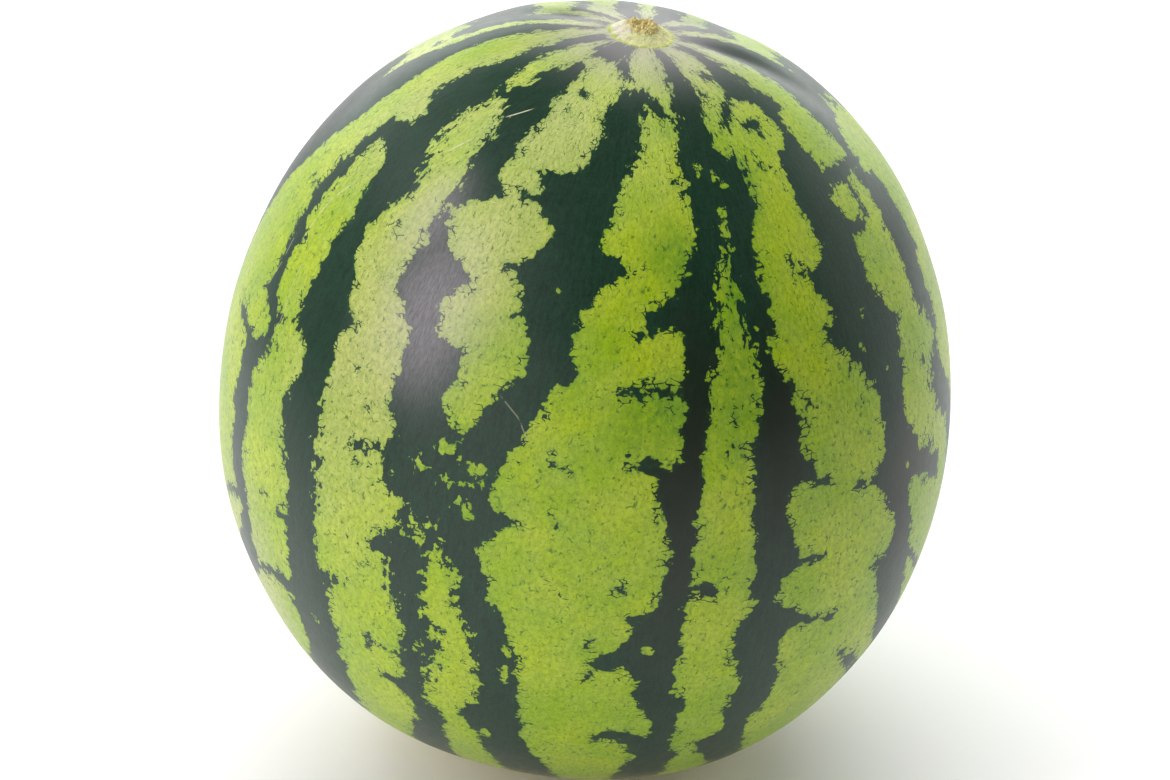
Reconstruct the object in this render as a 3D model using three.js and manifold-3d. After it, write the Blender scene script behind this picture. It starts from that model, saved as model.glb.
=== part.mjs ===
// A whole round watermelon, standing on the small flat spot near its blossom end.
//
// The fruit grew as one piece, so it is one closed solid: the rind's outer shape with
// the low scar where the stem was cut. Units are millimetres and +Z is up. The origin
// is under the middle of the fruit, on the flat spot that it rests on.

import * as THREE from "three";
import { mergeVertices } from "three/addons/utils/BufferGeometryUtils.js";
import Module from "manifold-3d";

const { degToRad, smoothstep } = THREE.MathUtils;

// ---- Driving dimensions, in millimetres and degrees ----

const HALF_WIDTH = 120.5; // across the fruit, at its widest
const HALF_LENGTH = 130; // along the fruit, from its centre to either end
const BODY_LEAN = 2.4; // the long axis leans towards +X
const STEM_LEAN = 8; // the stem grew off the long axis, leaning further
const STEM_BEARING = -17; // and it leans this way, turned from +X towards +Y
const RESTING_DEPTH = 2.2; // how far the ground has flattened the round end

// The stem end: a corky core in a low collar, in the middle of a shallow basin.
const CORE_RADIUS = 5.5;
const CORE_HEIGHT = 1.6;
const COLLAR_RADIUS = 11.5;
const COLLAR_HEIGHT = 1.8;
const BASIN_RADIUS = 42;
const BASIN_DEPTH = 1.2;

// Shallow furrows run out from the stem and fade on the shoulder.
const FURROWS = 10;
const FURROW_DEPTH = 0.8;
const FURROW_REACH = 85;

// Broad bulges and hollows that keep the fruit from being a perfect ellipsoid. bearing
// turns from +X towards +Y, rise is above the horizon, and spread is the angle from
// the middle at which a swell has fallen to 0.6 of its height.
const SWELLS = [
  { bearing: 29, rise: 45, height: 1.4, spread: 20 },
  { bearing: 122, rise: 60, height: 0.8, spread: 16 },
  { bearing: 168, rise: 22, height: -0.8, spread: 22 },
  { bearing: 197, rise: -31, height: 1.3, spread: 20 },
  { bearing: 252, rise: -62, height: -1.8, spread: 13 },
  { bearing: -32, rise: -47, height: 1.5, spread: 18 },
  { bearing: 4, rise: 7, height: -1.3, spread: 20 },
  { bearing: 75, rise: -20, height: 1.0, spread: 28 },
];

// The surface is a net of meridians and rings around the stem axis. RING_CROWDING above
// 1 draws the rings together at the stem, where the relief is finest.
const MERIDIANS = 64;
const RINGS = 42;
const RING_CROWDING = 1.3;

const RIND_COLOUR = 0x5c8a32;
const RIND_ROUGHNESS = 0.35;

// ---- The shape, as a distance from the centre in every direction ----

function directionOf({ bearing, rise }) {
  // setFromSphericalCoords measures its polar angle from +Y and turns from +Z to +X.
  const d = new THREE.Vector3().setFromSphericalCoords(
    1,
    degToRad(90 - rise),
    degToRad(bearing),
  );
  return new THREE.Vector3(d.z, d.x, d.y);
}

const longAxis = directionOf({ bearing: 0, rise: 90 - BODY_LEAN });
const stemAxis = directionOf({ bearing: STEM_BEARING, rise: 90 - STEM_LEAN });
const swells = SWELLS.map((swell) => ({
  ...swell,
  middle: directionOf(swell),
}));

function ellipsoidRadius(direction) {
  const along = direction.dot(longAxis);
  const across = Math.sqrt(Math.max(0, 1 - along * along));
  return 1 / Math.hypot(across / HALF_WIDTH, along / HALF_LENGTH);
}

function swellHeight(direction) {
  return swells.reduce((sum, { middle, height, spread }) => {
    const off = direction.angleTo(middle) / degToRad(spread);
    return sum + height * Math.exp(-0.5 * off * off);
  }, 0);
}

// fromStem is the distance over the rind from the middle of the stem scar.
function stemEndHeight(fromStem, turn) {
  const core =
    CORE_HEIGHT * (1 - smoothstep(fromStem, 0.6 * CORE_RADIUS, CORE_RADIUS));
  const collar =
    COLLAR_HEIGHT *
    (1 - smoothstep(fromStem, 0.6 * COLLAR_RADIUS, 1.25 * COLLAR_RADIUS));
  const basin = -BASIN_DEPTH * (1 - smoothstep(fromStem, 0, BASIN_RADIUS));
  const furrowed =
    smoothstep(fromStem, COLLAR_RADIUS, 0.4 * FURROW_REACH) *
    (1 - smoothstep(fromStem, 0.4 * FURROW_REACH, FURROW_REACH));
  const furrow = -FURROW_DEPTH * furrowed * Math.cos(0.5 * FURROWS * turn) ** 8;
  return core + collar + basin + furrow;
}

function radiusTowards(direction, fromAxis, turn) {
  const fromStem = fromAxis * HALF_LENGTH;
  return (
    ellipsoidRadius(direction) +
    swellHeight(direction) +
    stemEndHeight(fromStem, turn)
  );
}

// ---- The closed surface ----

// A unit sphere turned around the stem axis, with each point then moved out to the rind.
function rindGeometry() {
  const halfCircle = [];
  for (let ring = 0; ring <= RINGS; ring++) {
    const fromAxis = Math.PI * (ring / RINGS) ** RING_CROWDING;
    const onAxis = ring === 0 || ring === RINGS;
    const radius = onAxis ? 0 : Math.sin(fromAxis);
    halfCircle.push(new THREE.Vector2(radius, Math.cos(fromAxis)));
  }
  halfCircle.reverse(); // a lathe profile that runs upwards faces out
  const geometry = new THREE.LatheGeometry(halfCircle, MERIDIANS);

  const latheAxis = new THREE.Vector3(0, 1, 0);
  const toStemAxis = new THREE.Quaternion().setFromUnitVectors(
    latheAxis,
    stemAxis,
  );
  const position = geometry.getAttribute("position");
  const point = new THREE.Vector3();
  for (let i = 0; i < position.count; i++) {
    point.fromBufferAttribute(position, i);
    const fromAxis = point.angleTo(latheAxis);
    const turn = Math.atan2(point.x, point.z);
    point.applyQuaternion(toStemAxis).normalize();
    point.multiplyScalar(radiusTowards(point, fromAxis, turn));
    position.setXYZ(i, point.x, point.y, point.z);
  }
  return geometry;
}

const wasm = await Module();
wasm.setup();

function solidFrom(geometry) {
  const bare = geometry.clone();
  bare.deleteAttribute("normal");
  bare.deleteAttribute("uv");
  const merged = mergeVertices(bare, 1e-3);
  const mesh = new wasm.Mesh({
    numProp: 3,
    vertProperties: merged.getAttribute("position").array,
    triVerts: new Uint32Array(merged.index.array),
  });
  return new wasm.Manifold(mesh);
}

function geometryFrom(solid) {
  const mesh = solid.getMesh();
  const geometry = new THREE.BufferGeometry();
  geometry.setAttribute(
    "position",
    new THREE.BufferAttribute(new Float32Array(mesh.vertProperties), 3),
  );
  geometry.setIndex(
    new THREE.BufferAttribute(new Uint32Array(mesh.triVerts), 1),
  );
  geometry.computeVertexNormals();
  return geometry;
}

// Cuts the lowest RESTING_DEPTH away with a block of ground, which leaves one flat face.
function restedOnGround(geometry) {
  geometry.computeBoundingBox();
  const groundSize = 4 * HALF_LENGTH;
  const groundTop = geometry.boundingBox.min.z + RESTING_DEPTH;
  const ground = new THREE.BoxGeometry(groundSize, groundSize, groundSize);
  ground.translate(0, 0, groundTop - groundSize / 2);
  return geometryFrom(solidFrom(geometry).subtract(solidFrom(ground)));
}

// Puts the origin on the flat face, under the middle of the fruit.
function stoodOnOrigin(geometry) {
  geometry.computeBoundingBox();
  const { min, max } = geometry.boundingBox;
  return geometry.translate(
    -(min.x + max.x) / 2,
    -(min.y + max.y) / 2,
    -min.z,
  );
}

// ---- The part ----

const rind = new THREE.MeshStandardMaterial({
  color: RIND_COLOUR,
  roughness: RIND_ROUGHNESS,
  metalness: 0,
});

const watermelon = new THREE.Mesh(
  stoodOnOrigin(restedOnGround(rindGeometry())),
  rind,
);
watermelon.name = "watermelon";

const part = new THREE.Group();
part.add(watermelon);

export default part;
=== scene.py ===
"""A whole round watermelon with dark and light green stripes, standing on a pale floor.

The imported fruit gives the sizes. Here its one solid is replaced by a fine rind, with the
stripes laid out on it stripe by stripe, and by the corky scar where the stem was cut.

Places on the fruit are given as on a globe: latitude 90 is the stem scar, latitude -90 is
the blossom end, longitude 0 faces the front, and longitude 90 faces right (+X).
"""

import logging
from dataclasses import dataclass, field
from enum import Enum

import bpy
import numpy as np
from mathutils import Euler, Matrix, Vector


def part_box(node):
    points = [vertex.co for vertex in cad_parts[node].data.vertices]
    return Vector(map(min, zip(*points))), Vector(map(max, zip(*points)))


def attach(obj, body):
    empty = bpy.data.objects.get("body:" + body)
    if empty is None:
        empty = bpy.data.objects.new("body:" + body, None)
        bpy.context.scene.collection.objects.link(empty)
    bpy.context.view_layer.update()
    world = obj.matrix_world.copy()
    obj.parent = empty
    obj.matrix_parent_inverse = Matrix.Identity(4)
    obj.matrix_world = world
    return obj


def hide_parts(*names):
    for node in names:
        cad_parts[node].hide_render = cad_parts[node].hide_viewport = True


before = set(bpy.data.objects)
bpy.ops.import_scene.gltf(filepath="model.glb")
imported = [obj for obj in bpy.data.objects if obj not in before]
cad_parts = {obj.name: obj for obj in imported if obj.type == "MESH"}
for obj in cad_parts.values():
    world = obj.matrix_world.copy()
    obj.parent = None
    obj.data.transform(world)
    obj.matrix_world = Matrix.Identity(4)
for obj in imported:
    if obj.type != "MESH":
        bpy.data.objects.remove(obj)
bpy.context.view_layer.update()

log = logging.getLogger("watermelon")

NODE = "watermelon"
MM = 0.001

Array = np.ndarray
Outline = tuple[tuple[float, float, float], ...]  # rows of latitude, west and east longitude
Point = tuple[float, float, float]  # longitude, latitude and half width in mm
Stroke = tuple[Point, ...]
Patches = tuple[tuple[float, float, float, float], ...]  # longitude, latitude, half width and height

# ---- Where the stripes lie -------------------------------------------------------------

STRIPES: dict[str, Outline] = {
    "left": (
        (84, -72, -50), (80, -71, -57), (77, -69, -58), (75, -66.5, -58), (70, -66, -55.5),
        (67, -66.5, -54), (65.5, -69, -51), (62, -69, -49), (60, -68.5, -50), (57, -67.5, -53),
        (54.5, -62, -51.5), (52, -61.5, -50.5), (50, -67, -49.5), (47.5, -66.5, -47),
        (46.5, -60, -46.5), (45, -57, -44.5), (42, -56.2, -46.5), (40, -55.5, -48),
        (36, -54, -49.2), (33, -54, -48.3), (31, -55, -47), (27, -54, -44.5), (23.5, -54, -41.8),
        (22, -53.7, -43.5), (19.5, -53.3, -43.5), (18.5, -50, -43), (17, -48.6, -42.6),
        (13, -48.3, -42.4), (10, -49.7, -41.6), (8.5, -50.7, -41.2), (5, -49.4, -41.5),
        (0, -47.3, -40), (-5, -46, -40), (-8, -47.3, -40.3), (-12, -46.5, -39), (-15, -46.5, -38),
        (-18, -46.7, -37.8), (-20.5, -49, -37.6), (-22, -51, -37.5), (-23.5, -49, -37.4),
        (-27, -47.5, -37.2), (-30, -48, -38.6), (-35, -49.5, -38.6), (-40, -53, -40.3),
        (-48, -54, -42), (-60, -56, -43), (-75, -57, -46), (-84, -56, -48),
    ),
    "left_edge": (
        (50, -69.5, -65), (45, -69.5, -66.3), (40, -69.7, -66.3), (35, -70, -66.6),
        (31, -68.5, -66), (29, -67.5, -63.5), (25, -66, -64), (20, -66.3, -62.5), (18, -62.5, -58),
        (15, -60.3, -57.6), (13, -63, -58.8), (11, -66.3, -60.5), (7, -66, -61), (5, -66, -60.2),
        (2, -66.8, -60.3), (0, -65.2, -61), (-5, -65.6, -61), (-8, -65.8, -60.7),
        (-10, -64, -60.6), (-15, -62.6, -59.6), (-20, -65.5, -60), (-23, -69, -59),
        (-25, -70, -62), (-30, -74, -66), (-45, -76, -68), (-60, -77, -70), (-84, -77, -71),
    ),
    "mid_left": (
        (75.7, -35, -31), (74, -37.5, -30), (72, -43, -29.5), (70, -43.2, -29), (67, -43, -29),
        (65.5, -46, -28.7), (64, -50, -28), (62.3, -42, -27.6), (60, -38.7, -28),
        (57, -37.6, -29.5), (52, -36.6, -29), (50, -35.5, -27), (48.5, -35.2, -28),
        (47, -35.3, -31), (45, -35.8, -33), (42, -36, -33.5), (40, -35.3, -32), (38, -35.2, -28.5),
        (36, -36, -25), (35, -36.3, -23.8), (33.5, -36.3, -26.5), (31, -37, -27.3),
        (30, -34.5, -27.4), (28, -31.7, -26), (26.3, -30.2, -21), (25, -30, -20.5),
        (22, -30, -20.6), (20, -30, -22.4), (18, -30, -21), (16.5, -30, -18.5), (15, -29, -16),
        (12, -27.5, -16), (10.5, -29.5, -16), (8, -28.6, -16), (5, -27.6, -16), (3.5, -24.5, -16),
        (0, -25.5, -17), (-3, -28, -19.3), (-4.6, -28.5, -19.6), (-5.5, -26.2, -19.7),
        (-10, -24.6, -20), (-13.5, -24.4, -19), (-15, -23, -18), (-17, -22.3, -17.3),
        (-20, -23, -17.5), (-22.5, -24.5, -19), (-26, -23.6, -20), (-28, -24.6, -20.5),
        (-29.5, -27, -20.5), (-32, -24.6, -20.2), (-33.5, -23.3, -18.3), (-36, -23.5, -17.6),
        (-40, -24.5, -18.3), (-45, -27, -18.5), (-50, -30, -19.5), (-60, -31, -21),
        (-75, -31, -22), (-84, -30, -23),
    ),
    "mid_left_cap": (
        (84.5, -40, -8), (82, -42, -8), (80.5, -41, -9), (79.5, -38, -12), (78.7, -36, -20),
    ),
    "middle": (
        (72.7, -3, 4), (71, -4.5, 7), (69.5, -5.5, 5.5), (67.5, -7, 5), (66.5, -9.8, 4.4),
        (65.5, -9.5, 4.3), (64, -7, 4.5), (61, -6.5, 4.5), (59, -8, 3.5), (57, -9, 2),
        (55, -10, 1), (54.3, -18, 0.6), (51, -17.5, -0.3), (50, -19, -0.4), (49, -15, -0.6),
        (46, -12.2, -1.7), (44, -11.8, -0.5), (43, -12.5, 2.2), (42, -13.5, 4.5), (41, -14.8, 4),
        (40, -16, 0.2), (38, -15, -1.3), (35, -13.2, -3), (32, -11, -3.8), (30, -10, -4),
        (28, -10, -3), (26.3, -10, -0.8), (25.3, -10.2, -4), (24, -11.5, -5.6), (21, -14.6, -7),
        (20, -15.1, -8.5), (18, -14.6, -8.6), (16, -17.5, -9), (14, -18, -10), (12, -18, -11),
        (10, -18, -11.9), (7.5, -18, -11.3), (6, -18, -9), (4, -18, -9.3), (2, -18, -11),
        (0, -18, -12.6), (-2, -17.3, -11.5), (-4, -15, -10.6), (-6, -14.6, -10.5), (-8, -14.5, -9),
        (-10, -13.7, -7), (-12, -12.4, -6.5), (-15, -12, -5.5), (-20, -10.5, -4.7),
        (-25, -10.3, -4), (-28, -11, -3.3), (-30, -13, -3), (-33, -13.5, -3.4), (-35, -12.3, -3.5),
        (-38, -11.2, -1.6), (-40, -10.2, -0.6), (-43, -9.3, 1.2), (-45, -8.6, 2.8), (-50, -7.2, 5),
        (-55, -6.5, 8), (-65, -5, 9), (-78, -3, 8), (-84, -2, 6),
    ),
    "mid_right": (
        (84, 20, 34), (80, 21, 33), (75, 20.5, 32.6), (72.5, 20.5, 33.5), (71, 20, 32),
        (70, 17.6, 30), (68, 19.2, 29.8), (65, 17.6, 29), (63, 17.4, 28.2), (61, 17.2, 29.5),
        (59.3, 16.4, 34), (58.5, 16.2, 35), (56, 17, 35), (53, 17.7, 33.6), (51, 18.5, 33.5),
        (50, 18.8, 31.6), (48, 18.6, 30.6), (46, 17.7, 30.5),
    ),
    "mid_right_west": (
        (50, 18.8, 25), (46.5, 17.8, 24.5), (45, 17, 23.2), (42, 15.5, 22), (40, 13.8, 21),
        (38.5, 12.5, 21), (37, 11.5, 20.9), (35, 12, 20.7), (33.5, 14.5, 21), (31, 15.7, 21),
        (30, 15.7, 20.4), (28, 15.5, 19.4), (26.4, 14.5, 19.3), (24.6, 15, 19.3), (22, 15.3, 19.3),
        (18, 15.3, 18.6), (15.5, 14.8, 18.3), (14.5, 12.8, 18.3), (13, 12.4, 18.4),
        (10, 13.2, 18.7), (8, 14, 18.6), (5, 15, 18.3), (2, 15.4, 19), (0, 15.5, 19.3),
        (-4, 15.2, 18.8), (-6, 14, 18.7), (-7.3, 11.8, 18.6), (-10, 12, 19), (-12, 11, 19.5),
        (-13.5, 11.5, 19.8), (-16.3, 12, 20.3), (-19, 14.9, 20.7), (-22, 14.4, 21.5),
        (-23.5, 15.2, 23), (-25, 17.5, 23.2), (-28, 19.3, 23), (-30, 20, 23.3),
        (-32.5, 20.2, 24.3), (-35, 18.5, 25), (-37, 18, 26), (-38.5, 19.3, 27.5),
        (-40, 20.6, 29.5), (-45, 20, 29.6), (-50, 20, 31), (-55, 22, 33), (-65, 24, 33),
        (-78, 25, 32), (-84, 25, 31),
    ),
    "mid_right_east": (
        (50, 26, 31.6), (46.5, 26.2, 30.6), (45, 25.8, 30.5), (42, 25.2, 30.7), (40, 25.6, 31),
        (36, 26, 31.8), (34, 26.7, 31.8), (33, 27.2, 30.8), (31, 27.9, 30.3), (30, 28.5, 30.3),
        (29, 28.5, 31), (27, 28.4, 33.5), (26, 28.2, 34.3), (24, 27.9, 33.7), (21, 27.3, 35.2),
        (17, 26.6, 35), (15.5, 27.4, 35.5), (14, 27.6, 36.5), (12.7, 27.7, 35), (11, 27.7, 32.6),
        (8, 27.8, 33), (5, 28, 34.6), (2, 28.5, 36.3), (0, 28.7, 36), (-2, 28.8, 33.6),
        (-5, 30, 33.5), (-6.5, 29.2, 35.5), (-8.5, 28, 37.5), (-10.3, 28, 37.5), (-10.8, 28, 36.4),
        (-13, 28.8, 36.8), (-15, 29, 37), (-18, 31, 38), (-20, 32, 40), (-24, 32, 40.4),
        (-28, 32.5, 40.5), (-30, 34, 39.8), (-32, 35, 39.6), (-34, 35.3, 41), (-35.5, 33.3, 42),
        (-36.5, 31.7, 42.5), (-38, 33, 43.5), (-40, 35, 45), (-43, 38, 46.5), (-46, 41.5, 49),
        (-52, 45, 52), (-65, 46, 54), (-78, 46, 53), (-84, 47, 52),
    ),
    "right": (
        (84, 60, 80), (80, 62, 76), (77, 57, 73), (76, 52, 71.5), (75, 49.2, 70), (72, 49, 68.6),
        (71, 48.3, 69.3), (70, 52, 69.7), (69.3, 57.5, 70), (68, 59, 70.8), (66, 60, 70),
        (65, 59.6, 65), (63, 58.2, 63), (61, 56, 61.7), (60, 55, 61.4), (59.4, 50.5, 61.2),
        (58, 49, 61.2), (55.5, 48.2, 62), (54, 47.7, 62), (51.5, 47.2, 58), (50, 47.5, 57.6),
        (46, 47.5, 59.7), (45, 48, 59.2), (43.5, 46.5, 58), (41.5, 45, 57.5), (40.3, 42, 57.4),
        (38, 43.5, 57), (36, 45.6, 57.1), (34, 45, 58.5), (33.2, 41.5, 60), (32, 42, 62),
        (31, 43.2, 62.8), (30, 44.7, 61), (28, 47.3, 60.5), (25, 50.5, 60), (22.5, 52.1, 59.3),
        (20, 52.3, 58.5), (16, 53, 59.2), (14, 52.7, 60.8), (12.7, 52.4, 63), (11, 50.5, 63),
        (10, 49.5, 63), (8.7, 52, 62), (7, 53.4, 60.2), (5, 55, 60.4), (3, 57, 61.3),
        (0, 57.6, 62.6), (-3, 56.2, 63.6), (-5, 55, 64.6), (-7, 56.4, 65.6), (-10, 57.2, 67),
        (-15, 61.5, 69.6), (-20, 64.5, 72), (-26, 68, 76), (-35, 70, 79), (-50, 72, 81),
        (-65, 73, 82), (-84, 74, 81),
    ),
    "right_edge": (
        (84, 94, 116), (78, 92, 122), (71, 90, 122), (69, 89, 120), (66, 86, 120), (63, 84, 120),
        (60, 80.8, 114), (58, 80.3, 102), (56.5, 80.2, 90), (55, 80, 84), (53, 79, 81.5),
        (51, 76, 80), (50, 74.6, 81), (48.7, 75, 84.6), (46, 74.5, 85.3), (43, 72.8, 84.5),
        (40, 72, 83.6), (36, 72, 82.8),
        (35, 71.6, 79.3), (32, 71, 78), (30, 72, 77.6), (28, 74.4, 78), (25, 75.1, 76.6),
        (24, 74.2, 76), (22, 70.7, 74.8), (19, 69.2, 75.5), (17.3, 71, 78), (15, 71.6, 81),
        (12, 76, 84), (5, 80, 88), (-10, 84, 92), (-30, 86, 96), (-60, 88, 98), (-84, 88, 97),
    ),
    "far_left": (
        (84, -101, -92), (80, -100, -93), (75, -105, -92), (70, -108, -92), (65, -104, -91),
        (60, -101, -88), (55, -103, -84), (50, -104, -82.5), (45, -104, -82), (40, -103, -84),
        (30, -100, -88), (20, -98, -88), (10, -100, -86), (0, -98, -84), (-15, -99, -87),
        (-30, -101, -90), (-60, -102, -92), (-84, -101, -93),
    ),
}

SPURS: tuple[Stroke, ...] = (
    ((-50, 64, 2.5), (-43, 64, 2.5)),
    ((-12, 79, 1.5), (-8, 77, 1.4), (-3, 75, 0.5)),
    ((2, 72, 1.5), (9, 70.6, 1.3), (12, 69, 1.1), (14.5, 66.5, 0.5)),
    ((15, 36, 2.8), (9.8, 35.8, 2.6), (7.5, 33.2, 0.7)),
    ((15, 25.6, 1.8), (10, 25.8, 1.3), (5.5, 25, 0.5)),
    ((14, 14, 2.4), (11, 15.4, 1.8), (7.6, 16.2, 0.7)),
    ((13, -13.5, 4.2), (9, -14.8, 3), (7.2, -16, 1.6), (6.1, -18.2, 0.4)),
    ((20, -35, 3.5), (16, -32.6, 3.3), (12.7, -32, 2.4), (11, -33.2, 1)),
    ((36, 14.2, 1.8), (38.5, 13, 1), (40.3, 12.4, 0.4)),
    ((36, 1, 1.6), (40.4, 0.7, 0.3)),
    ((36, -8.5, 2.6), (40, -9.5, 1.3), (43.5, -10.1, 0.5), (46.3, -10.6, 0.7)),
    ((40, -29, 1.6), (42.3, -29.8, 0.4)),
    ((62, 53.2, 3), (72, 53, 2.6), (80, 52.7, 2.4)),
    ((49, 70.7, 1.4), (44, 69.8, 1.2), (40.5, 68.2, 1.3), (36.7, 66.2, 0.8)),
    ((49, 75.6, 1.4), (46, 77, 0.6)),
    ((45, 65.2, 0.5), (49, 65, 1.2), (49.5, 62.8, 0.5)),
    ((50, 10.2, 1.2), (45.8, 10.3, 0.3)),
    ((61, 10.3, 4), (66, 8.4, 4.2), (70, 6.8, 3.4), (72.6, 3.5, 0.5)),
    ((56, -3.7, 1.4), (52, -4.3, 0.4)),
    ((53, -19.3, 0.5), (58, -23, 1.6), (65, -28, 2.3), (72, -34, 3)),
    ((64, -5, 1.6), (69, -8.5, 1), (74, -12, 0.9)),
    ((42, 40.6, 1.4), (39.5, 41.3, 0.5), (38.8, 43.3, 0.3)),
    ((-69, 35, 1.2), (-75.5, 35.2, 0.5)),
    ((-69, 40, 1.2), (-71.5, 40.3, 0.4)),
    ((-65, 12.3, 1.6), (-69, 12.6, 1.6), (-73.5, 13, 1)),
    ((-63, -12.3, 1.8), (-67, -13.5, 1.2), (-72, -15.5, 0.6)),
    ((-60, -23, 1.3), (-55, -22, 1.2), (-50, -20.7, 2)),
    ((-40, -13, 2.2), (-37, -13.7, 1.5), (-35.2, -13.7, 0.7)),
    ((-48, -8.3, 1.2), (-49.6, -8.3, 0.4)),
    ((-42.5, 24, 1.2), (-41.3, 23.7, 0.4)),
    ((-28, 9.7, 1.6), (-31.5, 10, 0.7), (-33, 8.7, 1.2), (-34.3, 8.6, 0.5)),
    ((-28.5, -4.5, 1), (-29.3, -4.6, 0.3)),
    ((-24.5, -22.4, 1), (-27, -22.6, 0.3)),
    ((-26, -29.8, 1.6), (-28, -29, 1), (-29.6, -30, 0.5)),
    ((-15, 39.8, 1.4), (-17.8, 39.6, 0.4)),
    ((-12, 33.6, 1.2), (-14.2, 33.2, 0.4)),
    ((-9, 5.6, 1.6), (-6.8, 5.4, 0.4)),
    ((-18, 49.8, 1.4), (-20.8, 49.8, 0.6)),
    ((-27, 49.8, 1.2), (-25.6, 48.3, 0.5), (-24.3, 48.6, 0.4)),
    ((-30, 56.7, 0.9), (-28.6, 56.6, 0.3)),
    ((20, -1.6, 1.5), (22.6, -2.2, 1.3), (23.6, -1.2, 0.5)),
    ((12.2, -6.8, 1.2), (10.8, -6.7, 0.5)),
    ((34.5, 22.2, 1), (36.5, 20.8, 0.4)),
    ((56.5, 52.4, 3), (62, 53.4, 2.4), (67, 53, 1), (68.2, 50, 0.5), (67.8, 47, 0.4)),
    ((58.5, 45.4, 2.2), (63, 45, 1.8), (67, 45.6, 0.8)),
)

FLECKS: tuple[Stroke, ...] = (
    ((-20.4, 69.8, 1.3), (-19.6, 69.2, 1)),
    ((-20.7, 65.9, 0.5), (-18.2, 64.6, 0.8)),
    ((-5, 14.2, 0.4), (-3.6, 14.6, 0.8), (-1.6, 14.5, 0.7)),
    ((-3.6, 14.6, 0.6), (-3.2, 15.4, 0.3)),
    ((-2.2, 6.8, 0.6), (-1.8, 6.3, 0.5)),
    ((-1.2, -2.3, 0.5), (0.6, -2.2, 0.7), (1, -1.3, 0.4)),
    ((0.3, -2.4, 0.6), (0.9, -4.6, 0.5)),
    ((8, -2.2, 0.4), (9.6, -2.6, 0.5)),
    ((8.8, -1.4, 0.4), (9.2, -2.8, 0.4)),
    ((5.9, -10.3, 0.3), (5.7, -12.7, 0.6)),
    ((-0.2, -14.5, 0.5), (1.6, -14.6, 0.5)),
    ((-29.8, -20.5, 0.4), (-30.6, -23.3, 0.9)),
    ((-53.5, -6.8, 0.5), (-51.8, -6.4, 0.7)),
    ((-30.5, -9.2, 0.4), (-29.6, -8.9, 0.4)),
    ((-34.2, 15.2, 0.8), (-33.4, 14.5, 0.7)),
    ((-37.5, 18.9, 0.4), (-36.8, 18.8, 0.4)),
    ((12, 62.6, 0.4), (14.5, 64.8, 0.7), (17.4, 66.2, 0.6)),
    ((16.4, 66.8, 0.6), (16.8, 64.3, 0.3)),
    ((13.9, 58, 0.3), (13.7, 54.6, 0.5)),
    ((42, 57.4, 0.4), (43.5, 56.6, 0.7)),
    ((40, 59.9, 0.8), (40.6, 57.5, 0.5)),
    ((65.3, 24.6, 0.5), (67, 23.9, 0.9)),
    ((66, 25.4, 0.4), (66.3, 23.6, 0.6)),
    ((36.4, 23.8, 0.7), (36.7, 23.7, 0.7)),
    ((48.2, 22, 0.6), (48.6, 21.8, 0.6)),
    ((45.6, 26.2, 0.7), (46.6, 26.3, 0.4)),
    ((23.8, 23.3, 0.5), (23.8, 22.5, 0.6)),
    ((23.5, 18.5, 0.7), (24.5, 18.4, 0.6)),
    ((-43, 38.6, 0.5), (-41.5, 38, 0.6)),
    ((34.5, 73.5, 0.4), (36, 72, 0.8)),
    ((39, 23.5, 0.4), (39.3, 23.5, 0.4)),
)

ISLANDS: tuple[Stroke, ...] = (
    ((-20, 12.8, 0.7), (-17.8, 13.8, 1.3), (-17.5, 12.8, 0.6)),
    ((-15.2, 11.5, 1.3), (-14.2, 10.8, 1.6), (-13.2, 11.8, 1.1)),
    ((-19, 9, 1.3), (-16.8, 8.8, 1.5), (-15.4, 9.6, 1.1)),
    ((-23.2, 10.9, 0.2), (-22.5, 9.8, 0.3)),
    ((-15, 6, 0.6), (-14, 5.2, 0.6)),
    ((-22.9, 1.6, 0.7), (-21.2, 1.2, 1), (-20.2, 2, 0.5)),
    ((-22.6, -1.2, 0.9), (-20.4, -0.8, 1)),
    ((24.6, 48.6, 0.6), (25.2, 51.6, 0.9)),
    ((19.6, 59, 0.1), (21.6, 58, 0.1)),
    ((24.6, 57.8, 0.1), (25.4, 56.8, 0.2)),
    ((27, 55.8, 0.2), (29.3, 55.3, 0.2)),
    ((14.2, -12.2, 0.8), (14.7, -12.3, 0.6)),
    ((-20.8, -19.5, 0.9), (-20.2, -19.5, 0.8)),
    ((-9.3, -36, 0.7), (-8.6, -37.3, 0.9)),
    ((-48.6, -23.3, 0.7), (-48.2, -23.6, 0.7)),
    ((-42.3, -23.9, 0.7), (-41.6, -23.2, 0.8)),
    ((58.4, 10.3, 0.5), (59, 9.8, 0.7)),
    ((-8.6, 37.6, 0.6), (-8.3, 37.6, 0.5)),
    ((52.2, 33.6, 0.4), (52.6, 33.8, 0.4)),
    ((55.7, 24.7, 0.3), (55.9, 24.7, 0.3)),
    ((50.2, 29.8, 0.4), (50.6, 28.6, 0.4)),
    ((-6.2, -15, 0.5), (-5.8, -18, 0.6), (-6.2, -21, 0.4)),
    ((60, 50.8, 1.3), (63.2, 51.2, 1.3), (65.2, 49.6, 1.3), (63.4, 47.7, 1.3), (60, 47.8, 1.3),
     (58.8, 49.3, 1.3), (60, 50.8, 1.3)),
    ((61.4, 49.5, 0.5), (62.6, 49.1, 0.5)),
)


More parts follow.
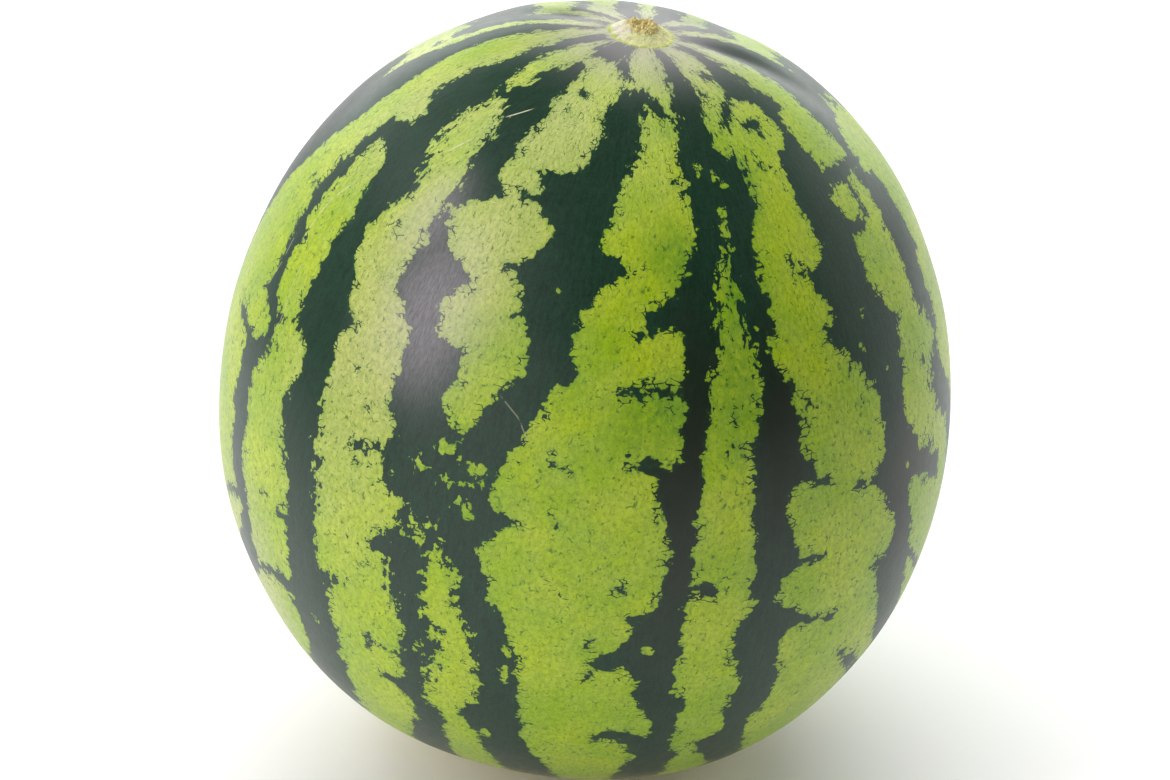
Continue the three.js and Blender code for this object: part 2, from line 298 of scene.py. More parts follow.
class Field(Enum):
    """The values that the meshes carry for their materials, by attribute name."""

    STRIPE = "stripe_depth"  # mm into the dark stripe, negative in the light green
    GROWTH = "growth_place"  # a place on the fruit that stretches as the rind grew
    FURROW = "furrow"  # 1 in the furrows that run out from the stem
    CROWN = "crown"  # 1 in the furrows that run out from the stem, which painted shade darkens
    BASE = "base"  # 1 under the fruit, where it lay on the ground
    BLOSSOM = "blossom"  # 1 at the blossom scar
    LUSH = "lush"  # 1 where the light green is deeper and bluer
    WARM = "warm"  # 1 where the dark green is nearly brown
    PALE = "pale"  # 1 where the light green is whiter, from wax bloom, and on the front's left also as a painted sheen of the light from the left
    WAX_AND_PAINTED_SHEEN = "wax_bloom_and_sheen"  # 1 where a pale mauve grey is mixed in: wax bloom, and on the front's left a painted sheen of the light from the left
    MOTTLE = "mottle"  # 1 where dark and light green are broken up into each other
    SCRATCH = "scratch"  # near a healed scratch, as strongly as it shows
    ACROSS = "across_scratch"  # mm from the middle of that scratch, to one side or the other
    SCAR_OUT = "scar_out"  # the distance from the stem scar's middle, in its radii
    SCAR_FACET = "scar_facet"  # 1 where the scar's collar was cut flatter


PATCHES: dict[Field, Patches] = {
    Field.LUSH: (
        (11, 22, 6, 5), (13, 45, 5, 4), (24, 27, 4, 9), (25, 40, 3, 6), (33, 56, 4, 5),
        (-170, 10, 14, 20), (120, -20, 10, 16),
    ),
    Field.WARM: (
        (17, 14, 7, 22), (32, 20, 5, 16), (60, 5, 8, 12), (-100, 20, 9, 30), (150, -10, 8, 25),
    ),
    # Wax bloom; the patches on the front's left also paint the sheen of the light from the left.
    Field.PALE: (
        (-38, 26, 14, 26), (-22, 44, 12, 16), (-24, 62, 26, 12), (-62, 56, 16, 16),
        (-62, -24, 10, 14), (-120, 40, 20, 40), (160, 20, 14, 50),
    ),
    # Wax bloom; the patches on the front's left also paint the sheen of the light from the left into
    # the colour.
    Field.WAX_AND_PAINTED_SHEEN: (
        (-29, 30, 9, 10), (-37, 42, 6, 7), (-120, 30, 12, 24), (156, 20, 10, 30),
    ),
    Field.MOTTLE: (
        (-45, 53, 10, 10), (-16, -16, 6, 16), (-30, 0, 16, 14), (24, 34, 6, 12), (-56, 18, 4, 8),
        (36, 62, 6, 6), (70, 20, 5, 12), (-160, 30, 8, 18), (128, 0, 6, 20), (156, -35, 6, 14),
        (-130, -30, 8, 16),
    ),
}


# ---- The fruit's shape -----------------------------------------------------------------


def direction(bearing: float, rise: float) -> Array:
    """The unit vector with this bearing from +X towards +Y and this rise, in degrees."""
    b, r = np.radians((bearing, rise))
    return np.array((np.cos(r) * np.cos(b), np.cos(r) * np.sin(b), np.sin(r)))


def unit(vectors: Array) -> Array:
    """The vectors scaled to length 1."""
    return vectors / np.linalg.norm(vectors, axis=-1, keepdims=True)


def smooth(low: float, high: float, x: Array) -> Array:
    """0 below low, 1 above high, and a smooth step between them."""
    t = np.clip((x - low) / (high - low), 0, 1)
    return t * t * (3 - 2 * t)


def turned(lon: Array, at: Array | float) -> Array:
    """How far lon is east of at, in degrees from -180 to 180."""
    return (lon - at + 180) % 360 - 180


@dataclass(frozen=True)
class Swell:
    """A broad bulge or hollow of the fruit.

    bearing turns from +X towards +Y, and rise is above the horizon, in degrees. height is in
    mm, and spread is the angle from the middle at which it has fallen to 0.6 of that.
    """

    bearing: float
    rise: float
    height: float
    spread: float

    def middle(self) -> Array:
        """The direction of the swell's middle."""
        return direction(self.bearing, self.rise)


@dataclass(frozen=True)
class Furrow:
    """A furrow that runs out from the stem. depth is in mm, and the others in degrees."""

    lon: float
    depth: float
    half_width: float


@dataclass
class FruitShape:
    """The rind's outer surface, as a distance from the fruit's centre in each direction.

    Lengths are in mm and angles in degrees. The furrows reach their full depth at
    furrow_full collar radii from the stem, and start to fade at furrow_fade of their reach.
    """

    half_width: float = 120.5
    half_length: float = 130.0
    body_lean: float = 2.4
    stem_lean: float = 8.0
    stem_bearing: float = -17.0
    front_bearing: float = -93.9
    basin_radius: float = 42.0
    basin_depth: float = 1.2
    collar_radius: float = 11.5
    furrow_full: float = 2.6
    furrow_fade: float = 0.35
    furrow_reach: float = 95.0
    furrow_flare: float = 12.0
    resting_depth: float = 2.2
    resting_blend: float = 1.0
    ripple: float = 0.16
    swells: tuple[Swell, ...] = (
        Swell(29, 45, 1.4, 20),
        Swell(122, 60, 0.8, 16),
        Swell(168, 22, -0.8, 22),
        Swell(197, -31, 1.3, 20),
        Swell(252, -62, -1.8, 13),
        Swell(-32, -47, 1.5, 18),
        Swell(4, 7, -1.3, 20),
        Swell(75, -20, 1.0, 28),
    )
    furrows: tuple[Furrow, ...] = (
        Furrow(-120, 1.2, 5.0),
        Furrow(-72, 0.45, 5.0),
        Furrow(-33, 0.4, 6.0),
        Furrow(24, 0.35, 6.0),
        Furrow(97, 1.1, 4.5),
        Furrow(148, 0.9, 6.0),
        Furrow(-150, 0.8, 6.0),
    )

    def __post_init__(self) -> None:
        """Works out the fruit's axes from its leans."""
        self.long_axis = direction(0, 90 - self.body_lean)
        self.stem_axis = direction(self.stem_bearing, 90 - self.stem_lean)
        facing = direction(self.front_bearing, 0)
        self.front = unit(facing - self.stem_axis * (facing @ self.stem_axis))
        self.right = np.cross(self.stem_axis, self.front)

    def towards(self, lon: Array, lat: Array) -> Array:
        """Unit vectors from the fruit's centre to places on its globe.

        Args:
            lon: longitudes in degrees.
            lat: latitudes in degrees.

        Returns:
            An array of vectors, one for each place.
        """
        lo, la = np.radians(lon)[..., None], np.radians(lat)[..., None]
        around = np.cos(lo) * self.front + np.sin(lo) * self.right
        return unit(
            self.half_length * np.sin(la) * self.stem_axis
            + self.half_width * np.cos(la) * around
        )

    def furrow_depth(self, lon: Array, from_stem: Array) -> Array:
        """How deep the furrows are.

        Args:
            lon: longitudes in degrees.
            from_stem: distances from the stem in mm.

        Returns:
            Depths in mm.
        """
        depth = np.zeros_like(from_stem)
        flare = 1 + self.furrow_flare / np.maximum(from_stem, 0.5 * self.furrow_flare)
        for furrow in self.furrows:
            off = turned(lon, furrow.lon) / (furrow.half_width * flare)
            depth += furrow.depth * np.exp(-0.5 * off**2)
        start = smooth(self.collar_radius, self.furrow_full * self.collar_radius, from_stem)
        end = smooth(self.furrow_fade * self.furrow_reach, self.furrow_reach, from_stem)
        return depth * start * (1 - end)

    def radius(self, d: Array, lon: Array) -> Array:
        """The distance from the centre to the rind.

        Args:
            d: unit vectors from the centre.
            lon: the longitude of each, for the furrows.

        Returns:
            Distances in mm.
        """
        along = d @ self.long_axis
        across = np.sqrt(np.maximum(0, 1 - along**2))
        r = 1 / np.hypot(across / self.half_width, along / self.half_length)
        for swell in self.swells:
            angle = np.degrees(np.arccos(np.clip(d @ swell.middle(), -1, 1)))
            r += swell.height * np.exp(-0.5 * (angle / swell.spread) ** 2)
        from_stem = np.arccos(np.clip(d @ self.stem_axis, -1, 1)) * self.half_length
        r -= self.basin_depth * (1 - smooth(0, self.basin_radius, from_stem))
        r -= self.furrow_depth(lon, from_stem)
        return r + self.ripple * ripples(d)

    def surface(self, lon: Array, lat: Array) -> Array:
        """Points on the rind, in mm from the fruit's centre, before the ground flattens it."""
        d = self.towards(lon, lat)
        return d * self.radius(d, lon)[..., None]

    def rested(self, points: Array, floor: float) -> Array:
        """The points with all that was below the floor pressed flat onto it.

        Args:
            points: points on the rind, in mm from the fruit's centre.
            floor: the floor's height over that centre.

        Returns:
            The pressed points.
        """
        k = self.resting_blend
        high = points[..., 2] - floor
        bend = np.maximum(k - np.abs(high), 0) ** 2 / (4 * k)
        out = points.copy()
        out[..., 2] = np.maximum(high, 0) + bend + floor
        return out


def ripples(d: Array) -> Array:
    """Slow, uneven waves over the rind, of height about 1.

    Args:
        d: unit vectors from the fruit's centre.

    Returns:
        The height of the waves in each direction.
    """
    trains, slowest, usual, fastest = 14, 9, 14, 26
    rng = np.random.default_rng(7)
    height = np.zeros(d.shape[:-1])
    for _ in range(trains):
        way = unit(rng.normal(size=3))
        waves = rng.uniform(slowest, fastest)
        height += np.sin(waves * (d @ way) + rng.uniform(0, 2 * np.pi)) / (waves / usual)
    return height / 3


# ---- The stripes -----------------------------------------------------------------------

MM_PER_DEGREE = 2.13  # over the rind, along a meridian
FAR = 99.0  # mm, farther than any mask reaches


def outline_depth(rows: Outline, lon: Array, lat: Array) -> Array:
    """How far each place is inside a stripe.

    Args:
        rows: the stripe's edges, as latitude, west and east longitude.
        lon: longitudes in degrees.
        lat: latitudes in degrees.

    Returns:
        Depths in mm, negative outside.
    """
    at, west, east = np.array(sorted(rows)).T
    w, e = np.interp(lat, at, west), np.interp(lat, at, east)
    off = turned(lon, (w + e) / 2)
    shrink = np.cos(np.radians(lat))
    depth = ((e - w) / 2 - np.abs(off)) * MM_PER_DEGREE * shrink
    step = 0.5
    lean_e = (np.interp(lat + step, at, east) - np.interp(lat - step, at, east)) / (2 * step)
    lean_w = (np.interp(lat + step, at, west) - np.interp(lat - step, at, west)) / (2 * step)
    depth /= np.hypot(1, np.where(off > 0, lean_e, lean_w) * shrink)
    ends = np.minimum(at[-1] - lat, lat - at[0]) * MM_PER_DEGREE
    return np.minimum(depth, ends)


def beside_segment(start: Point, end: Point, lon: Array, lat: Array) -> tuple[Array, Array, Array]:
    """Where each place lies beside one straight part of a stroke.

    Args:
        start: the part's first point.
        end: its last point.
        lon: longitudes in degrees.
        lat: latitudes in degrees.

    Returns:
        How far along the part its nearest point is, from 0 to 1, the distance to that point in
        mm, and the offset to one side or the other in mm.
    """
    shrink = np.cos(np.radians((start[1] + end[1]) / 2))
    x, y = turned(lon, start[0]) * shrink * MM_PER_DEGREE, (lat - start[1]) * MM_PER_DEGREE
    dx, dy = (end[0] - start[0]) * shrink * MM_PER_DEGREE, (end[1] - start[1]) * MM_PER_DEGREE
    square = max(dx * dx + dy * dy, 1e-9)
    t = np.clip((x * dx + y * dy) / square, 0, 1)
    return t, np.hypot(x - t * dx, y - t * dy), (x * dy - y * dx) / np.sqrt(square)


def stroke_depth(points: Stroke, lon: Array, lat: Array) -> Array:
    """How far each place is inside a tapering stroke.

    Args:
        points: the stroke.
        lon: longitudes in degrees.
        lat: latitudes in degrees.

    Returns:
        Depths in mm, negative outside.
    """
    best = np.full(lon.shape, -FAR)
    for start, end in zip(points, points[1:]):
        t, distance, _ = beside_segment(start, end, lon, lat)
        best = np.maximum(best, start[2] + (end[2] - start[2]) * t - distance)
    return best


def beside_stroke(points: Stroke, lon: Array, lat: Array) -> tuple[Array, Array]:
    """Where each place lies beside a stroke.

    Args:
        points: the stroke.
        lon: longitudes in degrees.
        lat: latitudes in degrees.

    Returns:
        The offset to the stroke's one side or the other in mm, and the distance in mm.
    """
    offset, nearest = np.full(lon.shape, FAR), np.full(lon.shape, FAR)
    for start, end in zip(points, points[1:]):
        _, distance, aside = beside_segment(start, end, lon, lat)
        closer = distance < nearest
        offset = np.where(closer, aside, offset)
        nearest = np.where(closer, distance, nearest)
    return offset, nearest


def patches(middles: Patches, lon: Array, lat: Array) -> Array:
    """1 in the middle of each patch, falling softly to 0 around it.

    Args:
        middles: each patch's longitude, latitude, half width and half height in degrees.
        lon: longitudes in degrees.
        lat: latitudes in degrees.

    Returns:
        A mask from 0 to 1.
    """
    mask = np.zeros_like(lon)
    for at_lon, at_lat, wide, tall in middles:
        off = np.hypot(turned(lon, at_lon) / wide, (lat - at_lat) / tall)
        mask = np.maximum(mask, np.exp(-0.7 * off**3))
    return mask


@dataclass
class PlainBall:
    """The plain ball that the stripes are set out on, standing where the fruit's centre is.

    Its front is matched to the rind along the lines of sight of somebody in front of the
    fruit, so that what they see keeps its place, and the rest is matched straight inwards.
    """

    half_width: float = 120.0
    half_length: float = 127.0
    lean: float = 7.7
    sight_rise: float = 26.0
    sight_away: float = 1072.0
    edge_on: float = 0.04
    well_seen: float = 0.3

    def __post_init__(self) -> None:
        """Works out the ball's axes and where the eye is."""
        self.eye = direction(-90, self.sight_rise) * self.sight_away
        self.axis = direction(0, 90 - self.lean)
        self.front = unit(self.eye - self.axis * (self.eye @ self.axis))
        self.right = np.cross(self.axis, self.front)

    def squeezed(self, points: Array) -> Array:
        """The points along the ball's right, front and axis, in its own half sizes."""
        along = np.stack((points @ self.right, points @ self.front, points @ self.axis), -1)
        return along / (self.half_width, self.half_width, self.half_length)

    def sighted(self, points: Array) -> Array:
        """Where the lines of sight to the points first meet the ball.

        Args:
            points: places on the rind, in mm from the fruit's centre.

        Returns:
            Points on the ball, in its own half sizes.
        """
        eye = self.squeezed(self.eye)
        ray = unit(self.squeezed(points) - eye)
        nearest = -(ray @ eye)
        short = np.sqrt(np.maximum(1 - ((eye + ray * nearest[:, None]) ** 2).sum(-1), 0))
        return eye + ray * (nearest - short)[:, None]

    def places(self, points: Array) -> tuple[Array, Array]:
        """The longitude and latitude on the ball of points on the rind.

        Args:
            points: places on the rind, in mm from the fruit's centre.

        Returns:
            Longitudes and latitudes in degrees.
        """
        facing = (unit(points) * unit(self.eye - points)).sum(-1)
        seen = smooth(self.edge_on, self.well_seen, facing)[:, None]
        mixed = seen * self.sighted(points) + (1 - seen) * unit(self.squeezed(points))
        x, y, z = mixed.T
        return np.degrees(np.arctan2(x, y)), np.degrees(np.arctan2(z, np.hypot(x, y)))


@dataclass(frozen=True)
class WanderingStripe:
    """A stripe on the far side of the fruit, whose edges wander like the others'."""

    lon: float
    half_width: float
    seed: int
    top: float = 84.0
    bottom: float = -84.0
    step: float = 3.2
    narrowest: float = 1.3
    spur_count: int = 11

    def outline(self) -> Outline:
        """Lets both edges and the middle wander.

        Returns:
            The stripe's edges every few degrees of latitude.
        """
        rng = np.random.default_rng(self.seed)
        lats = np.arange(self.top, self.bottom, -self.step)
        edges = []
        for _side in range(2):
            wobble = rng.normal(0, 1, len(lats) + 8)
            slow = np.convolve(wobble, np.ones(9) / 3, "valid")
            fast = rng.normal(0, 1.1, len(lats))
            edges.append(1.3 * slow + fast)
        middle = 1.5 * np.convolve(rng.normal(0, 1, len(lats) + 12), np.ones(13) / 3.6, "valid")
        middle *= smooth(88, 55, np.abs(lats))
        swell = self.half_width * (0.8 + 0.3 * np.cos(np.radians(lats * 1.5 + 40 * self.seed)))
        west = self.lon + middle - np.maximum(swell + edges[0], self.narrowest)
        east = self.lon + middle + np.maximum(swell + edges[1], self.narrowest)
        return tuple(zip(lats, west, east))

    def spurs(self) -> list[Stroke]:
        """Lets short dark spurs reach out of the stripe's sides.

        Returns:
            The spurs.
        """
        rng = np.random.default_rng(self.seed + 50)
        made: list[Stroke] = []
        rows = self.outline()
        for _ in range(self.spur_count):
            lat, west, east = rows[rng.integers(6, len(rows) - 6)]
            side = rng.choice((-1, 1))
            root = east if side > 0 else west
            reach = side * rng.uniform(3, 7.5)
            fall = rng.uniform(-2.5, 1.5)
            wide = rng.uniform(0.9, 2.6)
            made.append((
                (root - side, lat, wide),
                (root + 0.55 * reach, lat + 0.4 * fall, 0.5 * wide),
                (root + reach, lat + fall, 0.3),
            ))
        return made


@dataclass
class StripePattern:
    """All the dark stripes, with their spurs, the flecks around them and the islands in them.

    The flecks and islands are drawn in by these widths in mm, as the frayed edge fills them.
    """

    outlines: list[Outline] = field(default_factory=lambda: list(STRIPES.values()))
    spurs: list[Stroke] = field(default_factory=lambda: list(SPURS))
    flecks: tuple[Stroke, ...] = FLECKS
    islands: tuple[Stroke, ...] = ISLANDS
    fleck_margin: float = 0.9
    island_margin: float = 0.7
    deepest: float = 30.0
    far_side: tuple[WanderingStripe, ...] = (
        WanderingStripe(112, 6.5, 3),
        WanderingStripe(139, 5.5, 4),
        WanderingStripe(166, 6.5, 5),
        WanderingStripe(-168, 5.0, 6),
        WanderingStripe(-145, 6.0, 11),
        WanderingStripe(-122, 6.0, 8),
    )

    def __post_init__(self) -> None:
        """Adds the far side's stripes and spurs."""
        for stripe in self.far_side:
            self.outlines.append(stripe.outline())
            self.spurs += stripe.spurs()

    def depth(self, lon: Array, lat: Array) -> Array:
        """How far each place is inside the dark.

        Args:
            lon: longitudes in degrees.
            lat: latitudes in degrees.

        Returns:
            Depths in mm, negative in the light green.
        """
        dark = np.full(lon.shape, -FAR)
        for rows in self.outlines:
            dark = np.maximum(dark, outline_depth(rows, lon, lat))
        for spur in self.spurs:
            dark = np.maximum(dark, stroke_depth(spur, lon, lat))
        for fleck in self.flecks:
            dark = np.maximum(dark, stroke_depth(fleck, lon, lat) - self.fleck_margin)
        for island in self.islands:
            dark = np.minimum(dark, -stroke_depth(island, lon, lat) - self.island_margin)
        return np.clip(dark, -self.deepest, self.deepest)


# ---- Meshes ----------------------------------------------------------------------------


def per_vertex(grid: Array) -> Array:
    """One value for each vertex of the grid's mesh, in the order that grid_mesh gives them."""
    return np.concatenate((grid[0, :1], grid[1:-1].ravel(), grid[-1, :1]))


def grid_mesh(name: str, points: Array) -> bpy.types.Object:
    """A closed ball of quads from a grid of points that runs from one pole to the other.

    Args:
        name: the object's name.
        points: an array of rings by meridians by 3, in metres. The first and the last
            ring each are one point, repeated.

    Returns:
        The new object, in the scene, shaded smooth.
    """
    rings, around = points.shape[:2]
    inner = points[1:-1].reshape(-1, 3)
    co = np.vstack((points[0, :1], inner, points[-1, :1]))
    last = len(co) - 1

    def index(ring: int, m: int) -> int:
        """The vertex at an inner ring and a meridian."""
        return 1 + (ring - 1) * around + m % around

    faces: list[tuple[int, ...]] = []
    for m in range(around):
        faces.append((0, index(1, m), index(1, m + 1)))
    for ring in range(1, rings - 2):
        for m in range(around):
            faces.append((
                index(ring, m), index(ring + 1, m), index(ring + 1, m + 1), index(ring, m + 1),
            ))
    for m in range(around):
        faces.append((last, index(rings - 2, m + 1), index(rings - 2, m)))
    mesh = bpy.data.meshes.new(name)
    mesh.from_pydata(co.tolist(), [], faces)
    mesh.validate()
    mesh.shade_smooth()
    made = bpy.data.objects.new(name, mesh)
    bpy.context.scene.collection.objects.link(made)
    return made


def carry(piece: bpy.types.Object, what: Field, values: Array) -> None:
    """Stores a value or a vector for each vertex of a mesh.

    Args:
        piece: the piece with the mesh.
        what: the name that it is stored under.
        values: the values, or rows of three for vectors.
    """
    if values.ndim == 1:
        attribute = piece.data.attributes.new(what.value, "FLOAT", "POINT")
        attribute.data.foreach_set("value", values.astype(np.float32))
    else:
        attribute = piece.data.attributes.new(what.value, "FLOAT_VECTOR", "POINT")
        attribute.data.foreach_set("vector", values.astype(np.float32).ravel())


@dataclass
class Rind:
    """The whole outside of the fruit, in one fine mesh with its stripes.

    A scratch shows as strongly as its first point is wide.
    """

    shape: FruitShape
    pattern: StripePattern
    ball: PlainBall
    meridians: int = 440
    rings: int = 220
    ring_crowding: float = 1.12
    crown_reach: tuple[float, float] = (8.0, 60.0)
    base_reach: tuple[float, float] = (2.0, 34.0)
    blossom_reach: tuple[float, float] = (2.0, 6.5)
    scratch_reach: tuple[float, float] = (1.0, 3.0)
    scratch_strength: float = 2.0
    scratches: tuple[Stroke, ...] = (
        ((-61.5, 38.5, 0.5), (-63, 36, 0.55), (-63.4, 33, 0.5), (-63.3, 30, 0.3)),
        ((-59.2, 26, 0.3), (-59, 23, 0.5), (-58, 20.5, 0.55), (-57.8, 18, 0.35)),
        ((-66, 27.6, 0.3), (-65.4, 24.2, 0.35), (-66, 21, 0.3)),
        ((-12, 21.5, 0.2), (-9.5, 19.8, 0.25), (-8, 17.6, 0.2)),
        ((-37, 61.4, 0.6), (-34.4, 62.9, 0.7)),
        ((-44, 52.4, 0.6), (-42.4, 54.2, 0.7)),
        ((62, 30, 0.3), (62.6, 26, 0.3)),
    )

    def net(self) -> tuple[Array, Array]:
        """Sets out the net of meridians and rings, from the stem to the blossom end.

        Returns:
            The longitude and latitude of each vertex.
        """
        t = np.linspace(0, 1, self.rings + 1)
        lat = 90 - 180 * t**self.ring_crowding
        lon = np.arange(self.meridians) * 360 / self.meridians - 180
        return np.meshgrid(lon, lat)

    def build(self) -> bpy.types.Object:
        """Makes the mesh, rests it on the floor and stores what its material reads.

        Returns:
            The rind's object.
        """
        lon, lat = self.net()
        points = self.shape.surface(lon, lat)
        low, high = (np.array(corner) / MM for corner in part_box(NODE))
        floor = points[..., 2].min() + self.shape.resting_depth
        points = self.shape.rested(points, floor)
        middle = (points.min((0, 1)) + points.max((0, 1))) / 2
        self.centre = np.array((
            (low[0] + high[0]) / 2 - middle[0],
            (low[1] + high[1]) / 2 - middle[1],
            low[2] - floor,
        ))
        piece = grid_mesh("rind", (points + self.centre) * MM)
        skin = np.stack([per_vertex(points[..., axis]) for axis in range(3)], -1)
        self.store_pattern(piece, skin)
        self.store_growth(piece, per_vertex(lon), per_vertex(lat), skin[:, 2] - floor)
        return piece

    def store_pattern(self, piece: bpy.types.Object, skin: Array) -> None:
        """Stores the stripe depth, the patches and the scratches on the mesh.

        Args:
            piece: the rind.
            skin: its vertices, in mm from the fruit's centre.
        """
        place = self.ball.places(skin)
        carry(piece, Field.STRIPE, self.pattern.depth(*place))
        for what, middles in PATCHES.items():
            carry(piece, what, patches(middles, *place))
        near, across = self.scratched(*place)
        carry(piece, Field.SCRATCH, near)
        carry(piece, Field.ACROSS, across)

    def store_growth(self, piece: bpy.types.Object, lon: Array, lat: Array, high: Array) -> None:
        """Stores what the rind's growth from stem to blossom end gives it.

        Args:
            piece: the rind.
            lon: its vertices' longitudes in degrees.
            lat: their latitudes in degrees.
            high: their heights over the floor in mm.
        """
        radius, lo, la = self.shape.half_width, np.radians(lon), np.radians(lat)
        growth = np.stack((radius * np.cos(lo), radius * np.sin(lo), la * radius), 1)
        carry(piece, Field.GROWTH, growth)
        from_stem = np.radians(90 - lat) * self.shape.half_length
        from_blossom = np.radians(90 + lat) * self.shape.half_length
        carry(piece, Field.FURROW, np.clip(self.shape.furrow_depth(lon, from_stem), 0, 1))
        carry(piece, Field.CROWN, 1 - smooth(*self.crown_reach, from_stem))
        carry(piece, Field.BASE, 1 - smooth(*self.base_reach, high))
        carry(piece, Field.BLOSSOM, 1 - smooth(*self.blossom_reach, from_blossom))

    def scratched(self, lon: Array, lat: Array) -> tuple[Array, Array]:
        """Where each place lies beside the nearest scratch.

        Args:
            lon: longitudes in degrees.
            lat: latitudes in degrees.

        Returns:
            How near the scratch is, from 0 to its strength, and the offset from it in mm.
        """
        near, across = np.full(lon.shape, FAR), np.full(lon.shape, FAR)
        strength = np.zeros(lon.shape)
        for scratch in self.scratches:
            offset, distance = beside_stroke(scratch, lon, lat)
            across = np.where(distance < near, offset, across)
            shown = self.scratch_strength * scratch[0][2]
            strength = np.where(distance < near, shown, strength)
            near = np.minimum(near, distance)
        return strength * (1 - smooth(*self.scratch_reach, near)), np.clip(across, -20, 20)


@dataclass
class StemScar:
    """The stub where the stem was cut: a low green collar around a crumbling corky core.

    Lengths are in mm. The cap reaches overlap radii out, where it has dipped under the rind
    by the skirt, and its hidden underside lies at under_depth, with a ring for every
    under_step rings of the top.
    """

    shape: FruitShape
    centre: Array
    radius: float = 12.2
    overlap: float = 1.04
    skirt: float = 0.5
    rings: int = 90
    around: int = 220
    under_step: int = 6
    under_depth: float = 1.6
    slope: float = 2.6
    ribs: float = 0.16
    facet: float = 0.5
    facet_bearing: float = -100.0
    core: float = 0.55
    crumb: float = 1.0
    crumb_width: float = 1.15
    grain: float = 0.55
    grain_width: float = 0.5
    pit: float = 0.9
    fringe: float = 0.35
    fringe_width: float = 1.4

    def on_facet(self, a: Array) -> Array:
        """1 on the side where the collar was cut flatter, at these angles in radians."""
        return smooth(0.15, 0.8, np.cos(a - np.radians(self.facet_bearing)))

    def relief(self, out: Array, turn: Array) -> Array:
        """The scar's height over the rind in mm.

        Args:
            out: distances from the scar's middle in mm.
            turn: longitudes in degrees.

        Returns:
            Heights in mm.
        """
        a = np.radians(turn)
        rim = 1 + 0.05 * np.sin(3 * a + 0.6) + 0.03 * np.sin(7 * a) + 0.02 * np.sin(13 * a + 2)
        s = out / (self.radius * rim)
        slope = self.slope * (1 - smooth(0.30, 1.0, s)) ** 1.15
        ribbed = smooth(0.25, 0.5, s) * (1 - smooth(0.8, 1, s))
        ribs = self.ribs * np.sin(11 * a + 1.1) * np.sin(5 * a) * ribbed
        facet = self.on_facet(a) * smooth(0.2, 0.45, s) * (1 - smooth(0.75, 1.0, s))
        core = 1 - smooth(0.40, 0.58, s)
        crumbs = self.crumb * value_noise(out, a, self.crumb_width, 5)
        crumbs += self.grain * value_noise(out, a, self.grain_width, 9)
        pit = -self.pit * np.exp(-0.5 * ((s - 0.12) / 0.12) ** 2)
        fringe = self.fringe * value_noise(out, a, self.fringe_width, 21)
        fringe *= 1 - smooth(0.5, 0.95, s)
        return slope + ribs + self.facet * facet + core * (self.core + crumbs + pit) + fringe

    def build(self) -> bpy.types.Object:
        """Makes the scar as a closed cap that dips under the rind at its rim.

        Returns:
            The scar's object.
        """
        t = np.linspace(0, 1, self.rings + 1)
        turn, t = np.meshgrid(np.arange(self.around) * 360 / self.around - 180, t)
        out = self.radius * self.overlap * t
        lat = 90 - np.degrees(out / self.shape.half_length)
        ground = self.shape.surface(turn, lat)
        lift = self.relief(out, turn) - self.skirt * smooth(0.86, 1.0, t)
        top = ground + lift[..., None] * self.shape.stem_axis
        under = ground[::-self.under_step] - self.under_depth * self.shape.stem_axis
        piece = grid_mesh("stem_scar", (np.vstack((top, under)) + self.centre) * MM)

        def capped(grid: Array) -> Array:
            """One value for each vertex, with the hidden underside left at the rim's value."""
            return per_vertex(np.vstack((grid, np.repeat(grid[-1:], len(under), 0))))

        s = out / self.radius
        facet = self.on_facet(np.radians(turn)) * smooth(0.25, 0.45, s)
        carry(piece, Field.SCAR_OUT, capped(s))
        carry(piece, Field.SCAR_FACET, capped(facet))
        return piece


def value_noise(out: Array, turn: Array, size: float, seed: int) -> Array:
    """Smooth random heights from -1 to 1 over a disc.

    Args:
        out: distances from the disc's middle.
        turn: angles in radians.
        size: the spacing of the bumps, in the unit of out.
        seed: picks the heights.

    Returns:
        A height for each place.
    """
    cells = 96
    lattice = np.random.default_rng(seed).uniform(-1, 1, (cells + 1, cells + 1))
    x = out * np.cos(turn) / size + cells / 2
    y = out * np.sin(turn) / size + cells / 2
    i, j = np.floor(x).astype(int), np.floor(y).astype(int)
    u, v = x - i, y - j
    u, v = u * u * (3 - 2 * u), v * v * (3 - 2 * v)
    i, j = i % cells, j % cells
    near = lattice[i, j] * (1 - u) + lattice[i + 1, j] * u
    far = lattice[i, j + 1] * (1 - u) + lattice[i + 1, j + 1] * u
    return near * (1 - v) + far * v


# ---- Materials -------------------------------------------------------------------------

Colour = tuple[float, float, float]
Socket = bpy.types.NodeSocket
Node = bpy.types.Node
Tree = bpy.types.NodeTree


def srgb(red: float, green: float, blue: float) -> Colour:
    """The linear colour of a display colour.

    Args:
        red: from 0 to 255, like the others.
        green: the green channel.
        blue: the blue channel.

    Returns:
        The three channels from 0 to 1, made linear.
    """
    def linear(v: float) -> float:
        """One channel, made linear."""
        v /= 255
        return v / 12.92 if v <= 0.04045 else ((v + 0.055) / 1.055) ** 2.4

    return linear(red), linear(green), linear(blue)


